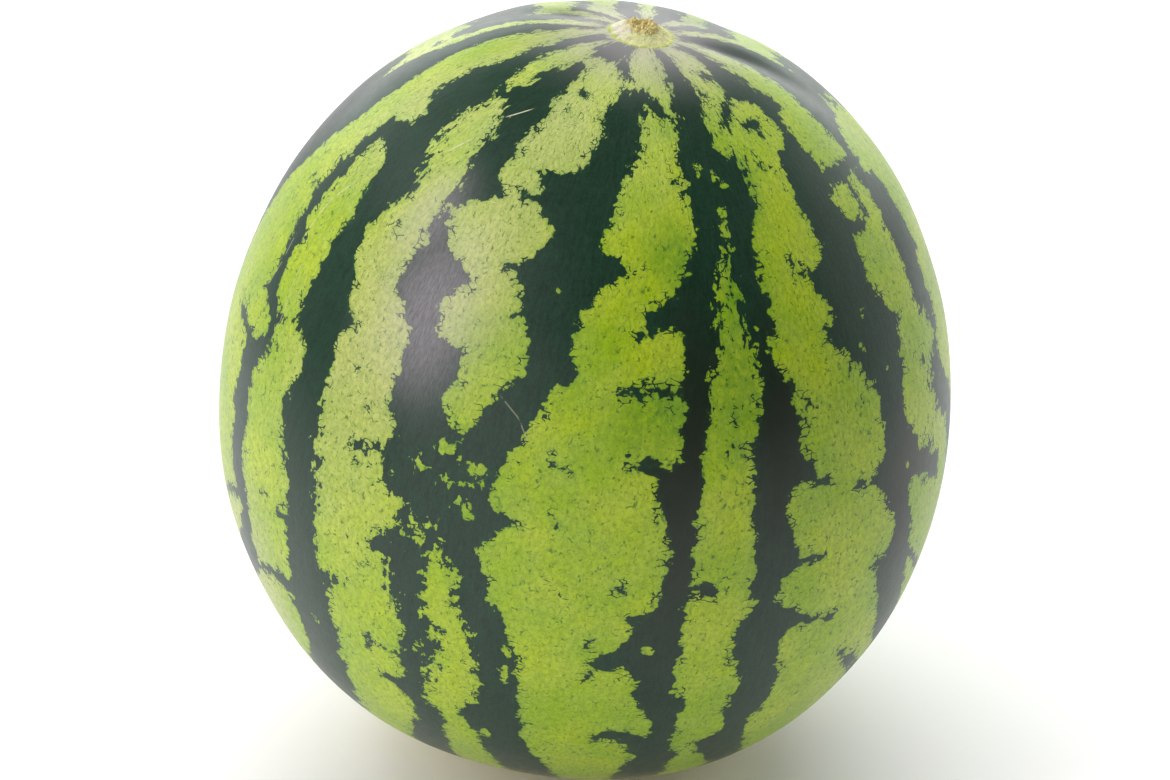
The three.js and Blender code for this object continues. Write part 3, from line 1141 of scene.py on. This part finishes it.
class Bench:
    """Places and joins nodes in one node tree.

    Wherever a method takes a value, that is a number, a colour or another node's output.
    """

    def __init__(self, tree: Tree) -> None:
        """Works on the given tree."""
        self.tree = tree
        self.column = 0

    def put(self, kind: str, **settings: object) -> Node:
        """Adds a node to the right of the last one.

        Args:
            kind: the node's type.
            **settings: the properties to set on it, by name.

        Returns:
            The node.
        """
        node = self.tree.nodes.new(kind)
        for key, value in settings.items():
            setattr(node, key, value)
        node.location = (180 * self.column, -40 * (self.column % 9))
        self.column += 1
        return node

    def feed(self, socket: Socket, value: object) -> None:
        """Sets a socket to a constant, or joins it to another node's output.

        Args:
            socket: the input to fill.
            value: what goes into it.
        """
        if isinstance(value, bpy.types.NodeSocket):
            self.tree.links.new(value, socket)
        elif isinstance(value, tuple) and len(value) == 3 and socket.type == "RGBA":
            socket.default_value = (*value, 1.0)
        else:
            socket.default_value = value

    def math(self, how: str, a: object, b: object = 0.0, clamp: bool = False) -> Socket:
        """One Math node.

        Args:
            how: the node's operation.
            a: the first value.
            b: the second value.
            clamp: whether the result is kept between 0 and 1.

        Returns:
            The result.
        """
        node = self.put("ShaderNodeMath", operation=how, use_clamp=clamp)
        self.feed(node.inputs[0], a)
        self.feed(node.inputs[1], b)
        return node.outputs[0]

    def times(self, a: object, b: object) -> Socket:
        """The product of two values."""
        return self.math("MULTIPLY", a, b)

    def above(self, value: object, level: float) -> Socket:
        """How far the value is above a level."""
        return self.math("SUBTRACT", value, level)

    def total(self, *terms: object) -> Socket:
        """The sum of values.

        Args:
            *terms: the values.

        Returns:
            Their sum.
        """
        result = terms[0]
        for term in terms[1:]:
            result = self.math("ADD", result, term)
        return result

    def remap(self, value: object, low: object, high: object, to_low: float = 0.0,
              to_high: float = 1.0) -> Socket:
        """A smooth step.

        Args:
            value: what is mapped.
            low: where the step starts.
            high: where the step ends.
            to_low: the result below low.
            to_high: the result above high.

        Returns:
            The result.
        """
        node = self.put("ShaderNodeMapRange", interpolation_type="SMOOTHSTEP")
        for socket, v in zip(node.inputs[:5], (value, low, high, to_low, to_high)):
            self.feed(socket, v)
        return node.outputs[0]

    def mix(self, amount: object, a: object, b: object) -> Socket:
        """A colour between two others.

        Args:
            amount: 0 gives a, and 1 gives b.
            a: the first colour.
            b: the second colour.

        Returns:
            The colour.
        """
        node = self.put("ShaderNodeMix", data_type="RGBA")
        self.feed(node.inputs[0], amount)
        self.feed(node.inputs[6], a)
        self.feed(node.inputs[7], b)
        return node.outputs[2]

    def laid(self, over: Colour, base: object, mask: object, strength: float) -> Socket:
        """The base colour with another laid over it where the mask is, at this strength."""
        return self.mix(self.times(mask, strength), base, over)

    def stretch(self, vector: object, scale: Colour) -> Socket:
        """Scales a vector along each axis.

        Args:
            vector: the vector.
            scale: the factor for each axis.

        Returns:
            The scaled vector.
        """
        node = self.put("ShaderNodeMapping")
        self.feed(node.inputs["Vector"], vector)
        node.inputs["Scale"].default_value = scale
        return node.outputs[0]

    def noise(self, vector: object, size: float, detail: float = 2.0,
              rough: float = 0.5) -> Socket:
        """Soft noise.

        Args:
            vector: the place it is read at.
            size: about how wide its lumps are.
            detail: how many finer layers it has.
            rough: how strong those are.

        Returns:
            The noise, from 0 to 1.
        """
        node = self.put("ShaderNodeTexNoise")
        self.feed(node.inputs["Vector"], vector)
        node.inputs["Scale"].default_value = 1 / size
        node.inputs["Detail"].default_value = detail
        node.inputs["Roughness"].default_value = rough
        return node.outputs[0]

    def cells(self, vector: object, size: float, feature: str = "F1") -> Socket:
        """A Voronoi pattern.

        Args:
            vector: the place it is read at.
            size: about how wide its cells are.
            feature: which distance it gives.

        Returns:
            The distance, in cells.
        """
        node = self.put("ShaderNodeTexVoronoi", feature=feature)
        self.feed(node.inputs["Vector"], vector)
        node.inputs["Scale"].default_value = 1 / size
        if feature == "SMOOTH_F1":
            node.inputs["Smoothness"].default_value = 0.35
        return node.outputs["Distance"]

    def seams(self, vector: object, size: float, width: float) -> Socket:
        """1 along the seams between cells, falling to 0 at the width, given in cells."""
        return self.remap(self.cells(vector, size, "DISTANCE_TO_EDGE"), 0.0, width, 1.0, 0.0)

    def shifted(self, vector: object, by: object) -> Socket:
        """Adds two vectors.

        Args:
            vector: the first.
            by: the second.

        Returns:
            Their sum.
        """
        node = self.put("ShaderNodeVectorMath", operation="ADD")
        self.feed(node.inputs[0], vector)
        self.feed(node.inputs[1], by)
        return node.outputs[0]

    def scaled(self, vector: object, factor: object) -> Socket:
        """Scales a vector alike along every axis.

        Args:
            vector: the vector.
            factor: the factor.

        Returns:
            The scaled vector.
        """
        node = self.put("ShaderNodeVectorMath", operation="SCALE")
        self.feed(node.inputs[0], vector)
        self.feed(node.inputs["Scale"], factor)
        return node.outputs[0]

    def wander(self, vector: object, size: float, reach: float) -> Socket:
        """Pushes a vector about by noise.

        Args:
            vector: the vector.
            size: about how wide the noise's lumps are.
            reach: the push is up to about half of this each way.

        Returns:
            The pushed vector.
        """
        node = self.put("ShaderNodeTexNoise")
        self.feed(node.inputs["Vector"], vector)
        node.inputs["Scale"].default_value = 1 / size
        node.inputs["Detail"].default_value = 2.0
        centred = self.put("ShaderNodeVectorMath", operation="SUBTRACT")
        self.feed(centred.inputs[0], node.outputs["Color"])
        centred.inputs[1].default_value = (0.5, 0.5, 0.5)
        return self.shifted(vector, self.scaled(centred.outputs[0], reach))

    def value(self, what: Field) -> Socket:
        """What the mesh carries under this name."""
        node = self.put("ShaderNodeAttribute", attribute_name=what.value)
        return node.outputs["Vector" if what is Field.GROWTH else "Fac"]

    def place(self) -> Socket:
        """The place on the piece, in mm."""
        coordinates = self.put("ShaderNodeTexCoord")
        return self.stretch(coordinates.outputs["Object"], (1 / MM, 1 / MM, 1 / MM))

    def group(self, tree: Tree, **inputs: object) -> Node:
        """Places a node group.

        Args:
            tree: the group.
            **inputs: what goes into its inputs, by name.

        Returns:
            The group's node.
        """
        node = self.put("ShaderNodeGroup", node_tree=tree)
        for name, value in inputs.items():
            self.feed(node.inputs[name], value)
        return node

    def bump(self, skin: Node, height: Socket, strength: float, distance: float) -> None:
        """Joins a height to a shader's normal.

        Args:
            skin: the Principled BSDF.
            height: the height, from about 0 to 1.
            strength: how much of the bump shows.
            distance: what a height of 1 stands for, in mm.
        """
        node = self.put("ShaderNodeBump")
        node.inputs["Strength"].default_value = strength
        node.inputs["Distance"].default_value = distance * MM
        self.feed(node.inputs["Height"], height)
        self.feed(skin.inputs["Normal"], node.outputs[0])


def new_group(
    name: str, inputs: dict[str, float | None], outputs: tuple[str, ...],
) -> tuple[Bench, bpy.types.NodeOutputs, bpy.types.NodeInputs]:
    """Starts a node group.

    Args:
        name: the group's name.
        inputs: each input's name and default, a float or None for a vector.
        outputs: the names of the outputs, all of them values.

    Returns:
        The bench, what the group is given, and where its results go.
    """
    tree = bpy.data.node_groups.new(name, "ShaderNodeTree")
    for key, default in inputs.items():
        kind = "NodeSocketVector" if default is None else "NodeSocketFloat"
        socket = tree.interface.new_socket(key, in_out="INPUT", socket_type=kind)
        if default is not None:
            socket.default_value = default
    for key in outputs:
        tree.interface.new_socket(key, in_out="OUTPUT", socket_type="NodeSocketFloat")
    bench = Bench(tree)
    return bench, bench.put("NodeGroupInput").outputs, bench.put("NodeGroupOutput").inputs


def frilled_edge_group() -> Tree:
    """How the light green meets the dark: rounded lobes with sharp dark cracks between them.

    Returns:
        A group that turns a stripe depth in mm into a mask of the dark, and the frilled depth.
    """
    bench, given, result = new_group(
        "frilled_edge",
        {"Depth": 0.0, "Place": None, "Lobes": 3.6, "Frill": 2.6, "Mottle": 0.0, "Bias": -0.5},
        ("Dark", "Frilled Depth"),
    )
    place = bench.wander(given["Place"], 7.0, 4.0)
    wide = bench.stretch(place, (1.0, 1.0, 1.5))
    lobes = bench.above(bench.cells(wide, 8.0, "SMOOTH_F1"), 0.36)
    frills = bench.above(bench.cells(wide, 3.4), 0.46)
    fringe = bench.above(bench.cells(bench.wander(wide, 2.0, 1.2), 1.5), 0.46)
    crumbs = bench.above(bench.noise(place, 0.8, 3.0, 0.65), 0.5)
    torn = bench.wander(bench.stretch(given["Place"], (1.0, 1.0, 2.2)), 3.0, 3.0)
    cracks = bench.seams(torn, 4.6, 0.10)
    cracked = bench.remap(bench.noise(place, 5.0, 1.0), 0.46, 0.60)
    lying = bench.stretch(place, (1.0, 1.0, 0.7))
    broken = bench.above(bench.noise(lying, 2.6, 3.0, 0.6), 0.5)
    depth = bench.total(
        given["Depth"],
        given["Bias"],
        bench.times(lobes, given["Lobes"]),
        bench.times(frills, given["Frill"]),
        bench.times(fringe, 1.2),
        bench.times(crumbs, 1.1),
        bench.times(bench.times(cracks, cracked), 3.4),
        bench.times(bench.times(broken, given["Mottle"]), 22.0),
    )
    bench.feed(result["Dark"], bench.remap(depth, -0.22, 0.22))
    bench.feed(result["Frilled Depth"], depth)
    return bench.tree


def speckle_group() -> Tree:
    """Fine broken flecks and a soft blotchy tone, as on rind and on cork.

    Returns:
        A group with the flecks' mask, a fine net and a broad blotch, each from 0 to 1.
    """
    bench, given, result = new_group(
        "speckle", {"Place": None, "Size": 1.0, "Cover": 0.5}, ("Flecks", "Net", "Blotch"),
    )
    place = bench.scaled(given["Place"], bench.math("DIVIDE", 1.0, given["Size"]))
    net = bench.seams(bench.wander(place, 2.4, 2.2), 2.6, 0.16)
    low = bench.math("SUBTRACT", 0.74, bench.times(given["Cover"], 0.3))
    high = bench.math("ADD", low, 0.09)
    chosen = bench.remap(bench.noise(place, 1.9, 2.0, 0.6), low, high)
    blotch = bench.remap(bench.noise(place, 11.0, 3.0, 0.55), 0.3, 0.7)
    bench.feed(result["Flecks"], bench.math("MULTIPLY", net, chosen, clamp=True))
    bench.feed(result["Net"], net)
    bench.feed(result["Blotch"], blotch)
    return bench.tree


def skin_relief_group() -> Tree:
    """The height of a plant skin: fine pores over slow unevenness.

    Returns:
        A group with one Height from about 0 to 1.
    """
    bench, given, result = new_group("skin_relief", {"Place": None, "Pores": 0.3}, ("Height",))
    pores = bench.remap(bench.cells(given["Place"], 0.9), 0.0, 0.5)
    grain = bench.noise(given["Place"], 0.55, 3.0, 0.6)
    slow = bench.noise(given["Place"], 7.0, 2.0)
    height = bench.total(
        bench.times(pores, given["Pores"]),
        bench.times(grain, 0.35),
        bench.times(slow, 0.8),
    )
    bench.feed(result["Height"], height)
    return bench.tree


@dataclass(frozen=True)
class SkinMaps:
    """What the layers of the rind's colour and gloss share."""

    place: Socket  # the place on the fruit in mm
    growth: Socket  # the same, along the way that the rind grew
    crown: Socket  # 1 at the stem
    dark: Socket  # 1 in the dark green
    depth: Socket  # mm into the dark green, along its frayed edge
    fine: Node  # the speckle group at its smaller size
    coarse: Node  # and at its larger size
    streaks: Socket  # soft streaks from stem to blossom end
    brushed: Socket  # and finer ones


@dataclass(frozen=True)
class RindFinish:
    """Waxy striped rind."""

    light: Colour = srgb(146, 182, 14)
    light_warm: Colour = srgb(172, 196, 20)
    light_pale: Colour = srgb(192, 194, 136)
    olive: Colour = srgb(92, 124, 14)
    lush: Colour = srgb(84, 138, 30)
    fleck: Colour = srgb(60, 104, 36)
    dark: Colour = srgb(24, 66, 44)
    dark_deep: Colour = srgb(9, 32, 18)
    dark_warm: Colour = srgb(20, 28, 10)
    edge: Colour = srgb(24, 72, 30)
    bloom_sheen: Colour = srgb(186, 176, 182)
    # A pale mauve grey: the wax bloom's colour, and also the colour of the painted sheen.
    ground_tint: Colour = srgb(214, 206, 120)
    blossom_tint: Colour = srgb(150, 122, 74)
    scratch_tint: Colour = srgb(196, 196, 160)
    refraction: float = 1.38
    wax: float = 0.15
    wax_roughness: float = 0.3
    relief: float = 0.25  # mm

    def material(self, edge: Tree, speckle: Tree, relief: Tree) -> bpy.types.Material:
        """Builds the rind's material.

        Args:
            edge: the frilled edge group.
            speckle: the speckle group.
            relief: the skin relief group.

        Returns:
            The material.
        """
        made = bpy.data.materials.new("rind")
        made.use_nodes = True
        bench = Bench(made.node_tree)
        skin = made.node_tree.nodes["Principled BSDF"]
        maps = self.maps(bench, edge, speckle)
        colour = bench.mix(maps.dark, self.light_green(bench, maps), self.dark_green(bench, maps))
        bench.feed(skin.inputs["Base Color"], self.marked(bench, maps, self.under_bloom_and_sheen(bench, maps, colour)))

        uneven = bench.times(bench.noise(maps.place, 3.0, 3.0, 0.6), 0.16)
        rough = bench.math("ADD", bench.math("ADD", 0.34, uneven), bench.times(maps.crown, 0.1))
        bench.feed(skin.inputs["Roughness"], rough)
        skin.inputs["IOR"].default_value = self.refraction
        skin.inputs["Coat Weight"].default_value = self.wax
        skin.inputs["Coat Roughness"].default_value = self.wax_roughness

        height = bench.total(
            bench.group(relief, Place=maps.place, Pores=0.22).outputs["Height"],
            bench.times(maps.dark, -0.5),
            bench.times(maps.streaks, 0.12),
        )
        bench.bump(skin, height, 0.35, self.relief)
        return made

    def maps(self, bench: Bench, edge: Tree, speckle: Tree) -> SkinMaps:
        """Sets out the masks and patterns that the layers share.

        Args:
            bench: the material's bench.
            edge: the frilled edge group.
            speckle: the speckle group.

        Returns:
            The shared sockets and nodes.
        """
        place, growth = bench.place(), bench.value(Field.GROWTH)
        frill = bench.group(
            edge, Depth=bench.value(Field.STRIPE), Place=growth, Mottle=bench.value(Field.MOTTLE),
        )
        aside = bench.shifted(growth, (40.0, 7.0, 3.0))
        soft = bench.noise(bench.stretch(growth, (1.0, 1.0, 0.22)), 1.6, 4.0, 0.65)
        sharp = bench.noise(bench.stretch(growth, (1.0, 1.0, 0.2)), 0.55, 4.0, 0.75)
        return SkinMaps(
            place=place,
            growth=growth,
            crown=bench.value(Field.CROWN),
            dark=frill.outputs["Dark"],
            depth=frill.outputs["Frilled Depth"],
            fine=bench.group(speckle, Place=growth, Size=1.0, Cover=0.55),
            coarse=bench.group(speckle, Place=aside, Size=2.1, Cover=0.35),
            streaks=bench.remap(soft, 0.3, 0.7),
            brushed=bench.remap(sharp, 0.34, 0.66),
        )

    def light_green(self, bench: Bench, maps: SkinMaps) -> Socket:
        """The light green: curdled, paler where it is waxy and where a painted sheen of the light from
        the left lies, with olive and dark flecks.

        Args:
            bench: the material's bench.
            maps: what the layers share.

        Returns:
            Its colour.
        """
        blotch = bench.remap(bench.noise(maps.place, 26.0, 3.0, 0.5), 0.35, 0.65)
        light = bench.mix(blotch, self.light, self.light_warm)
        # Painted sheen: the pale patches on the front's left whiten the light green where the light
        # from the left shines on it.
        whiter_by_wax_and_sheen = bench.math(
            "MAXIMUM", bench.times(maps.crown, 0.8), bench.times(bench.value(Field.PALE), 0.5),
        )
        mist = bench.times(maps.fine.outputs["Blotch"], 0.12)
        light = bench.mix(bench.math("ADD", mist, whiter_by_wax_and_sheen, clamp=True), light, self.light_pale)
        curdled = bench.noise(bench.stretch(maps.growth, (1.0, 1.0, 0.8)), 1.5, 4.0, 0.68)
        light = bench.laid(self.olive, light, bench.remap(curdled, 0.40, 0.62), 0.34)
        light = bench.laid(self.olive, light, maps.fine.outputs["Net"], 0.14)
        specks = bench.remap(bench.noise(maps.growth, 0.8, 1.0), 0.62, 0.70)
        light = bench.laid(self.olive, light, specks, 0.45)
        thick = bench.remap(bench.noise(maps.growth, 3.0, 3.0, 0.6), 0.3, 0.62, 0.35, 1.0)
        light = bench.laid(self.lush, light, bench.times(bench.value(Field.LUSH), thick), 0.65)
        flecks = bench.math("MAXIMUM", maps.fine.outputs["Flecks"], maps.coarse.outputs["Flecks"])
        light = bench.laid(self.fleck, light, flecks, 0.85)
        return bench.laid(self.lush, light, bench.remap(maps.depth, -2.2, 0.0), 0.30)

    def dark_green(self, bench: Bench, maps: SkinMaps) -> Socket:
        """The dark green: streaked, browner in places, and brighter along its edge.

        Args:
            bench: the material's bench.
            maps: what the layers share.

        Returns:
            Its colour.
        """
        grain = bench.remap(bench.noise(maps.place, 0.9, 3.0, 0.7), 0.35, 0.7)
        tone = bench.total(
            bench.times(maps.streaks, 0.3),
            bench.times(grain, 0.35),
            bench.times(maps.brushed, 0.35),
        )
        dark = bench.mix(tone, self.dark_deep, self.dark)
        dark = bench.laid(self.edge, dark, maps.coarse.outputs["Flecks"], 0.35)
        dark = bench.laid(self.dark_warm, dark, bench.value(Field.WARM), 0.8)
        return bench.laid(self.edge, dark, bench.remap(maps.depth, 0.0, 1.4, 1.0, 0.0), 0.45)

    def under_bloom_and_sheen(self, bench: Bench, maps: SkinMaps, colour: Socket) -> Socket:
        """The colour under a bloom of wax, thick by the stem, and under a painted sheen, streaked, in
        the patches where the left light's highlight falls.

        Args:
            bench: the material's bench.
            maps: what the layers share.
            colour: the colour under the wax and the painted sheen.

        Returns:
            The colour with the wax on it.
        """
        faint = bench.remap(bench.noise(maps.place, 12.0, 4.0, 0.55), 0.35, 0.75)
        patchy = bench.math("ADD", 0.18, bench.times(maps.brushed, 0.16))
        # Painted sheen: the patches mix in the pale mauve grey where the left light's highlight falls,
        # over the wax bloom.
        wax_bloom_and_sheen = bench.total(
            bench.times(faint, 0.01),
            bench.times(bench.math("POWER", maps.crown, 2.0), 0.42),
            bench.times(bench.value(Field.WAX_AND_PAINTED_SHEEN), patchy),
        )
        return bench.mix(wax_bloom_and_sheen, colour, self.bloom_sheen)

    def marked(self, bench: Bench, maps: SkinMaps, colour: Socket) -> Socket:
        """The colour with painted shade in its furrows, and its healed scratches, ground patch and
        blossom scar.

        Args:
            bench: the material's bench.
            maps: what the layers share.
            colour: the colour without them.

        Returns:
            The colour with them.
        """
        # Painted shade: the furrows are darkened towards the deep dark green.
        colour = bench.laid(self.dark_deep, colour, bench.value(Field.FURROW), 0.35)
        across = bench.math("ABSOLUTE", bench.value(Field.ACROSS))
        line = bench.times(bench.remap(across, 0.08, 0.34, 1.0, 0.0), bench.value(Field.SCRATCH))
        line = bench.times(line, bench.remap(bench.noise(maps.place, 2.0), 0.35, 0.5))
        colour = bench.laid(self.scratch_tint, colour, line, 0.8)
        colour = bench.laid(self.ground_tint, colour, bench.value(Field.BASE), 0.75)
        return bench.mix(bench.value(Field.BLOSSOM), colour, self.blossom_tint)


@dataclass(frozen=True)
class ScarFinish:
    """Dry cork in a pale green collar."""

    cork: Colour = srgb(226, 216, 160)
    cork_dark: Colour = srgb(188, 172, 96)
    cork_gap: Colour = srgb(132, 118, 48)
    collar: Colour = srgb(196, 202, 142)
    facet: Colour = srgb(206, 204, 180)
    rim: Colour = srgb(166, 182, 84)
    relief: float = 0.5  # mm

    def material(self, speckle: Tree, relief: Tree) -> bpy.types.Material:
        """Builds the scar's material.

        Args:
            speckle: the speckle group.
            relief: the skin relief group.

        Returns:
            The material.
        """
        made = bpy.data.materials.new("stem_scar")
        made.use_nodes = True
        bench = Bench(made.node_tree)
        cork = made.node_tree.nodes["Principled BSDF"]
        place = bench.place()
        fine = bench.group(speckle, Place=place, Size=0.45, Cover=0.8)
        strayed = bench.times(bench.above(bench.noise(place, 1.6, 3.0), 0.5), 0.35)
        out = bench.math("ADD", bench.value(Field.SCAR_OUT), strayed)
        core, collar = self.core_cork(bench, place), self.collar_skin(bench, fine, out)
        colour = bench.mix(bench.remap(out, 0.40, 0.56), core, collar)
        colour = bench.laid(self.cork_dark, colour, fine.outputs["Flecks"], 0.35)
        bench.feed(cork.inputs["Base Color"], colour)
        rough = bench.math("ADD", 0.62, bench.times(fine.outputs["Blotch"], 0.25))
        bench.feed(cork.inputs["Roughness"], rough)
        height = bench.group(relief, Place=place, Pores=0.8).outputs["Height"]
        bench.bump(cork, height, 0.7, self.relief)
        return made

    def core_cork(self, bench: Bench, place: Socket) -> Socket:
        """The crumbling cork in the middle.

        Args:
            bench: the material's bench.
            place: the place on the scar in mm.

        Returns:
            Its colour.
        """
        crumbs = bench.remap(bench.noise(place, 0.9, 4.0, 0.65), 0.4, 0.62)
        core = bench.mix(crumbs, self.cork_dark, self.cork)
        return bench.laid(self.cork_gap, core, bench.seams(place, 1.5, 0.1), 0.6)

    def collar_skin(self, bench: Bench, fine: Node, out: Socket) -> Socket:
        """The pale collar with its cut facet and its greener rim.

        Args:
            bench: the material's bench.
            fine: the speckle group.
            out: the unevened distance from the scar's middle, in its radii.

        Returns:
            Its colour.
        """
        collar = bench.laid(self.cork, self.collar, fine.outputs["Blotch"], 0.5)
        collar = bench.mix(bench.value(Field.SCAR_FACET), collar, self.facet)
        return bench.mix(bench.remap(out, 0.78, 0.95), collar, self.rim)


# ---- Studio ----------------------------------------------------------------------------


@dataclass(frozen=True)
class Softbox:
    """A soft light that faces the fruit.

    bearing turns from +X towards +Y, and rise is above the horizon, in degrees. away, width
    and height are in metres.
    """

    name: str
    bearing: float
    rise: float
    away: float
    width: float
    height: float
    radiance: float
    mirrored: bool = True
    tint: Colour = (1.0, 1.0, 1.0)

    def build(self, aim: Vector) -> None:
        """Adds the light.

        Args:
            aim: the middle of the fruit.
        """
        data = bpy.data.lights.new(self.name, "AREA")
        data.shape = "RECTANGLE"
        data.size = self.width
        data.size_y = self.height
        data.energy = self.radiance * np.pi * self.width * self.height
        data.color = self.tint
        light = bpy.data.objects.new(self.name, data)
        light.visible_glossy = self.mirrored
        light.visible_camera = False
        light.location = aim + Vector(direction(self.bearing, self.rise)) * self.away
        light.rotation_euler = turned_towards(light.location, aim)
        bpy.context.scene.collection.objects.link(light)


def turned_towards(stand: Vector, aim: Vector) -> Euler:
    """How a light or a camera that stands here turns to face its aim."""
    return (aim - stand).to_track_quat("-Z", "Y").to_euler()


@dataclass
class Studio:
    """The pale floor, the soft lights and the camera, in metres and degrees."""

    aim: Vector
    camera_rise: float = 26.0
    camera_away: float = 1.072
    camera_lift: float = 0.0016
    camera_left: float = 0.0005
    lens: float = 100.0
    floor_half: float = 6.0
    paper: Colour = (0.95, 0.95, 0.95)
    paper_roughness: float = 0.9
    dim: float = 0.08
    bright: float = 1.2
    softboxes: tuple[Softbox, ...] = (
        Softbox("left_strip", -146, 35, 1.1, 0.34, 0.9, 5.4, tint=(1.0, 0.88, 0.97)),
        Softbox("overhead", 90, 72, 1.5, 2.2, 1.6, 2.2, mirrored=False),
        Softbox("top_left", 160, 48, 1.2, 0.5, 0.5, 1.7),
        Softbox("front", -118, 7, 1.5, 1.4, 1.5, 1.25, tint=(1.0, 0.97, 1.0)),
        Softbox("right", 12, 20, 1.2, 0.8, 0.8, 0.6),
        Softbox("backdrop", 90, 50, 3.2, 4.0, 3.0, 1.35, mirrored=False),
        Softbox("low_back", 84, 12, 1.8, 3.0, 0.5, 2.2),
    )

    def build(self) -> None:
        """Makes the floor, the lights, the surrounding light and the camera."""
        scene = bpy.context.scene
        scene.view_settings.view_transform = "Standard"
        self.floor()
        for softbox in self.softboxes:
            softbox.build(self.aim)
        scene.world = self.surround()
        scene.camera = self.camera()

    def floor(self) -> bpy.types.Object:
        """A wide sheet of pale paper.

        Returns:
            The floor's object.
        """
        half = self.floor_half
        corners = [(-half, -half, 0), (half, -half, 0), (half, half, 0), (-half, half, 0)]
        mesh = bpy.data.meshes.new("floor")
        mesh.from_pydata(corners, [], [(0, 1, 2, 3)])
        paper = bpy.data.materials.new("pale_floor")
        paper.use_nodes = True
        shade = paper.node_tree.nodes["Principled BSDF"]
        shade.inputs["Base Color"].default_value = (*self.paper, 1)
        shade.inputs["Roughness"].default_value = self.paper_roughness
        mesh.materials.append(paper)
        made = bpy.data.objects.new("floor", mesh)
        bpy.context.scene.collection.objects.link(made)
        return made

    def camera(self) -> bpy.types.Object:
        """The camera, in front of the fruit and looking down on it.

        Returns:
            The camera's object.
        """
        data = bpy.data.cameras.new("camera")
        data.lens = self.lens
        data.sensor_width = 36.0
        aim = self.aim + Vector(direction(90, 90 - self.camera_rise)) * self.camera_lift
        aim.x -= self.camera_left
        made = bpy.data.objects.new("camera", data)
        made.location = aim + Vector(direction(-90, self.camera_rise)) * self.camera_away
        made.rotation_euler = turned_towards(made.location, aim)
        bpy.context.scene.collection.objects.link(made)
        return made

    def surround(self) -> bpy.types.World:
        """A white sweep behind and beside the fruit, in a dim room.

        Returns:
            The world.
        """
        world = bpy.data.worlds.new("surround")
        world.use_nodes = True
        bench = Bench(world.node_tree)
        way = bench.put("ShaderNodeSeparateXYZ")
        bench.feed(way.inputs[0], bench.put("ShaderNodeTexCoord").outputs["Generated"])
        behind = bench.remap(way.outputs[1], 0.1, 0.95)
        low = bench.remap(way.outputs[2], 0.2, 0.7, 1.0, 0.0)
        glow = bench.times(bench.times(behind, low), self.bright - self.dim)
        background = world.node_tree.nodes["Background"]
        bench.feed(background.inputs["Strength"], bench.total(glow, self.dim))
        background.inputs["Color"].default_value = (1, 1, 1, 1)
        return world


# ---- Making it -------------------------------------------------------------------------


def main() -> None:
    """Builds the rind and the scar, dresses them, and sets the studio up around them."""
    logging.basicConfig(level=logging.INFO, format="%(name)s: %(message)s")
    shape = FruitShape()
    rind = Rind(shape, StripePattern(), PlainBall())
    rind_piece = rind.build()
    edge, speckle, relief = frilled_edge_group(), speckle_group(), skin_relief_group()
    rind_piece.data.materials.append(RindFinish().material(edge, speckle, relief))
    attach(rind_piece, "root")
    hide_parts(NODE)
    log.info("rind: %d faces", len(rind_piece.data.polygons))

    scar_piece = StemScar(shape, rind.centre).build()
    scar_piece.data.materials.append(ScarFinish().material(speckle, relief))
    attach(scar_piece, "root")
    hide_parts(NODE)
    log.info("stem scar: %d faces", len(scar_piece.data.polygons))

    Studio(Vector(rind.centre) * MM).build()


if __name__ == "__main__":
    main()
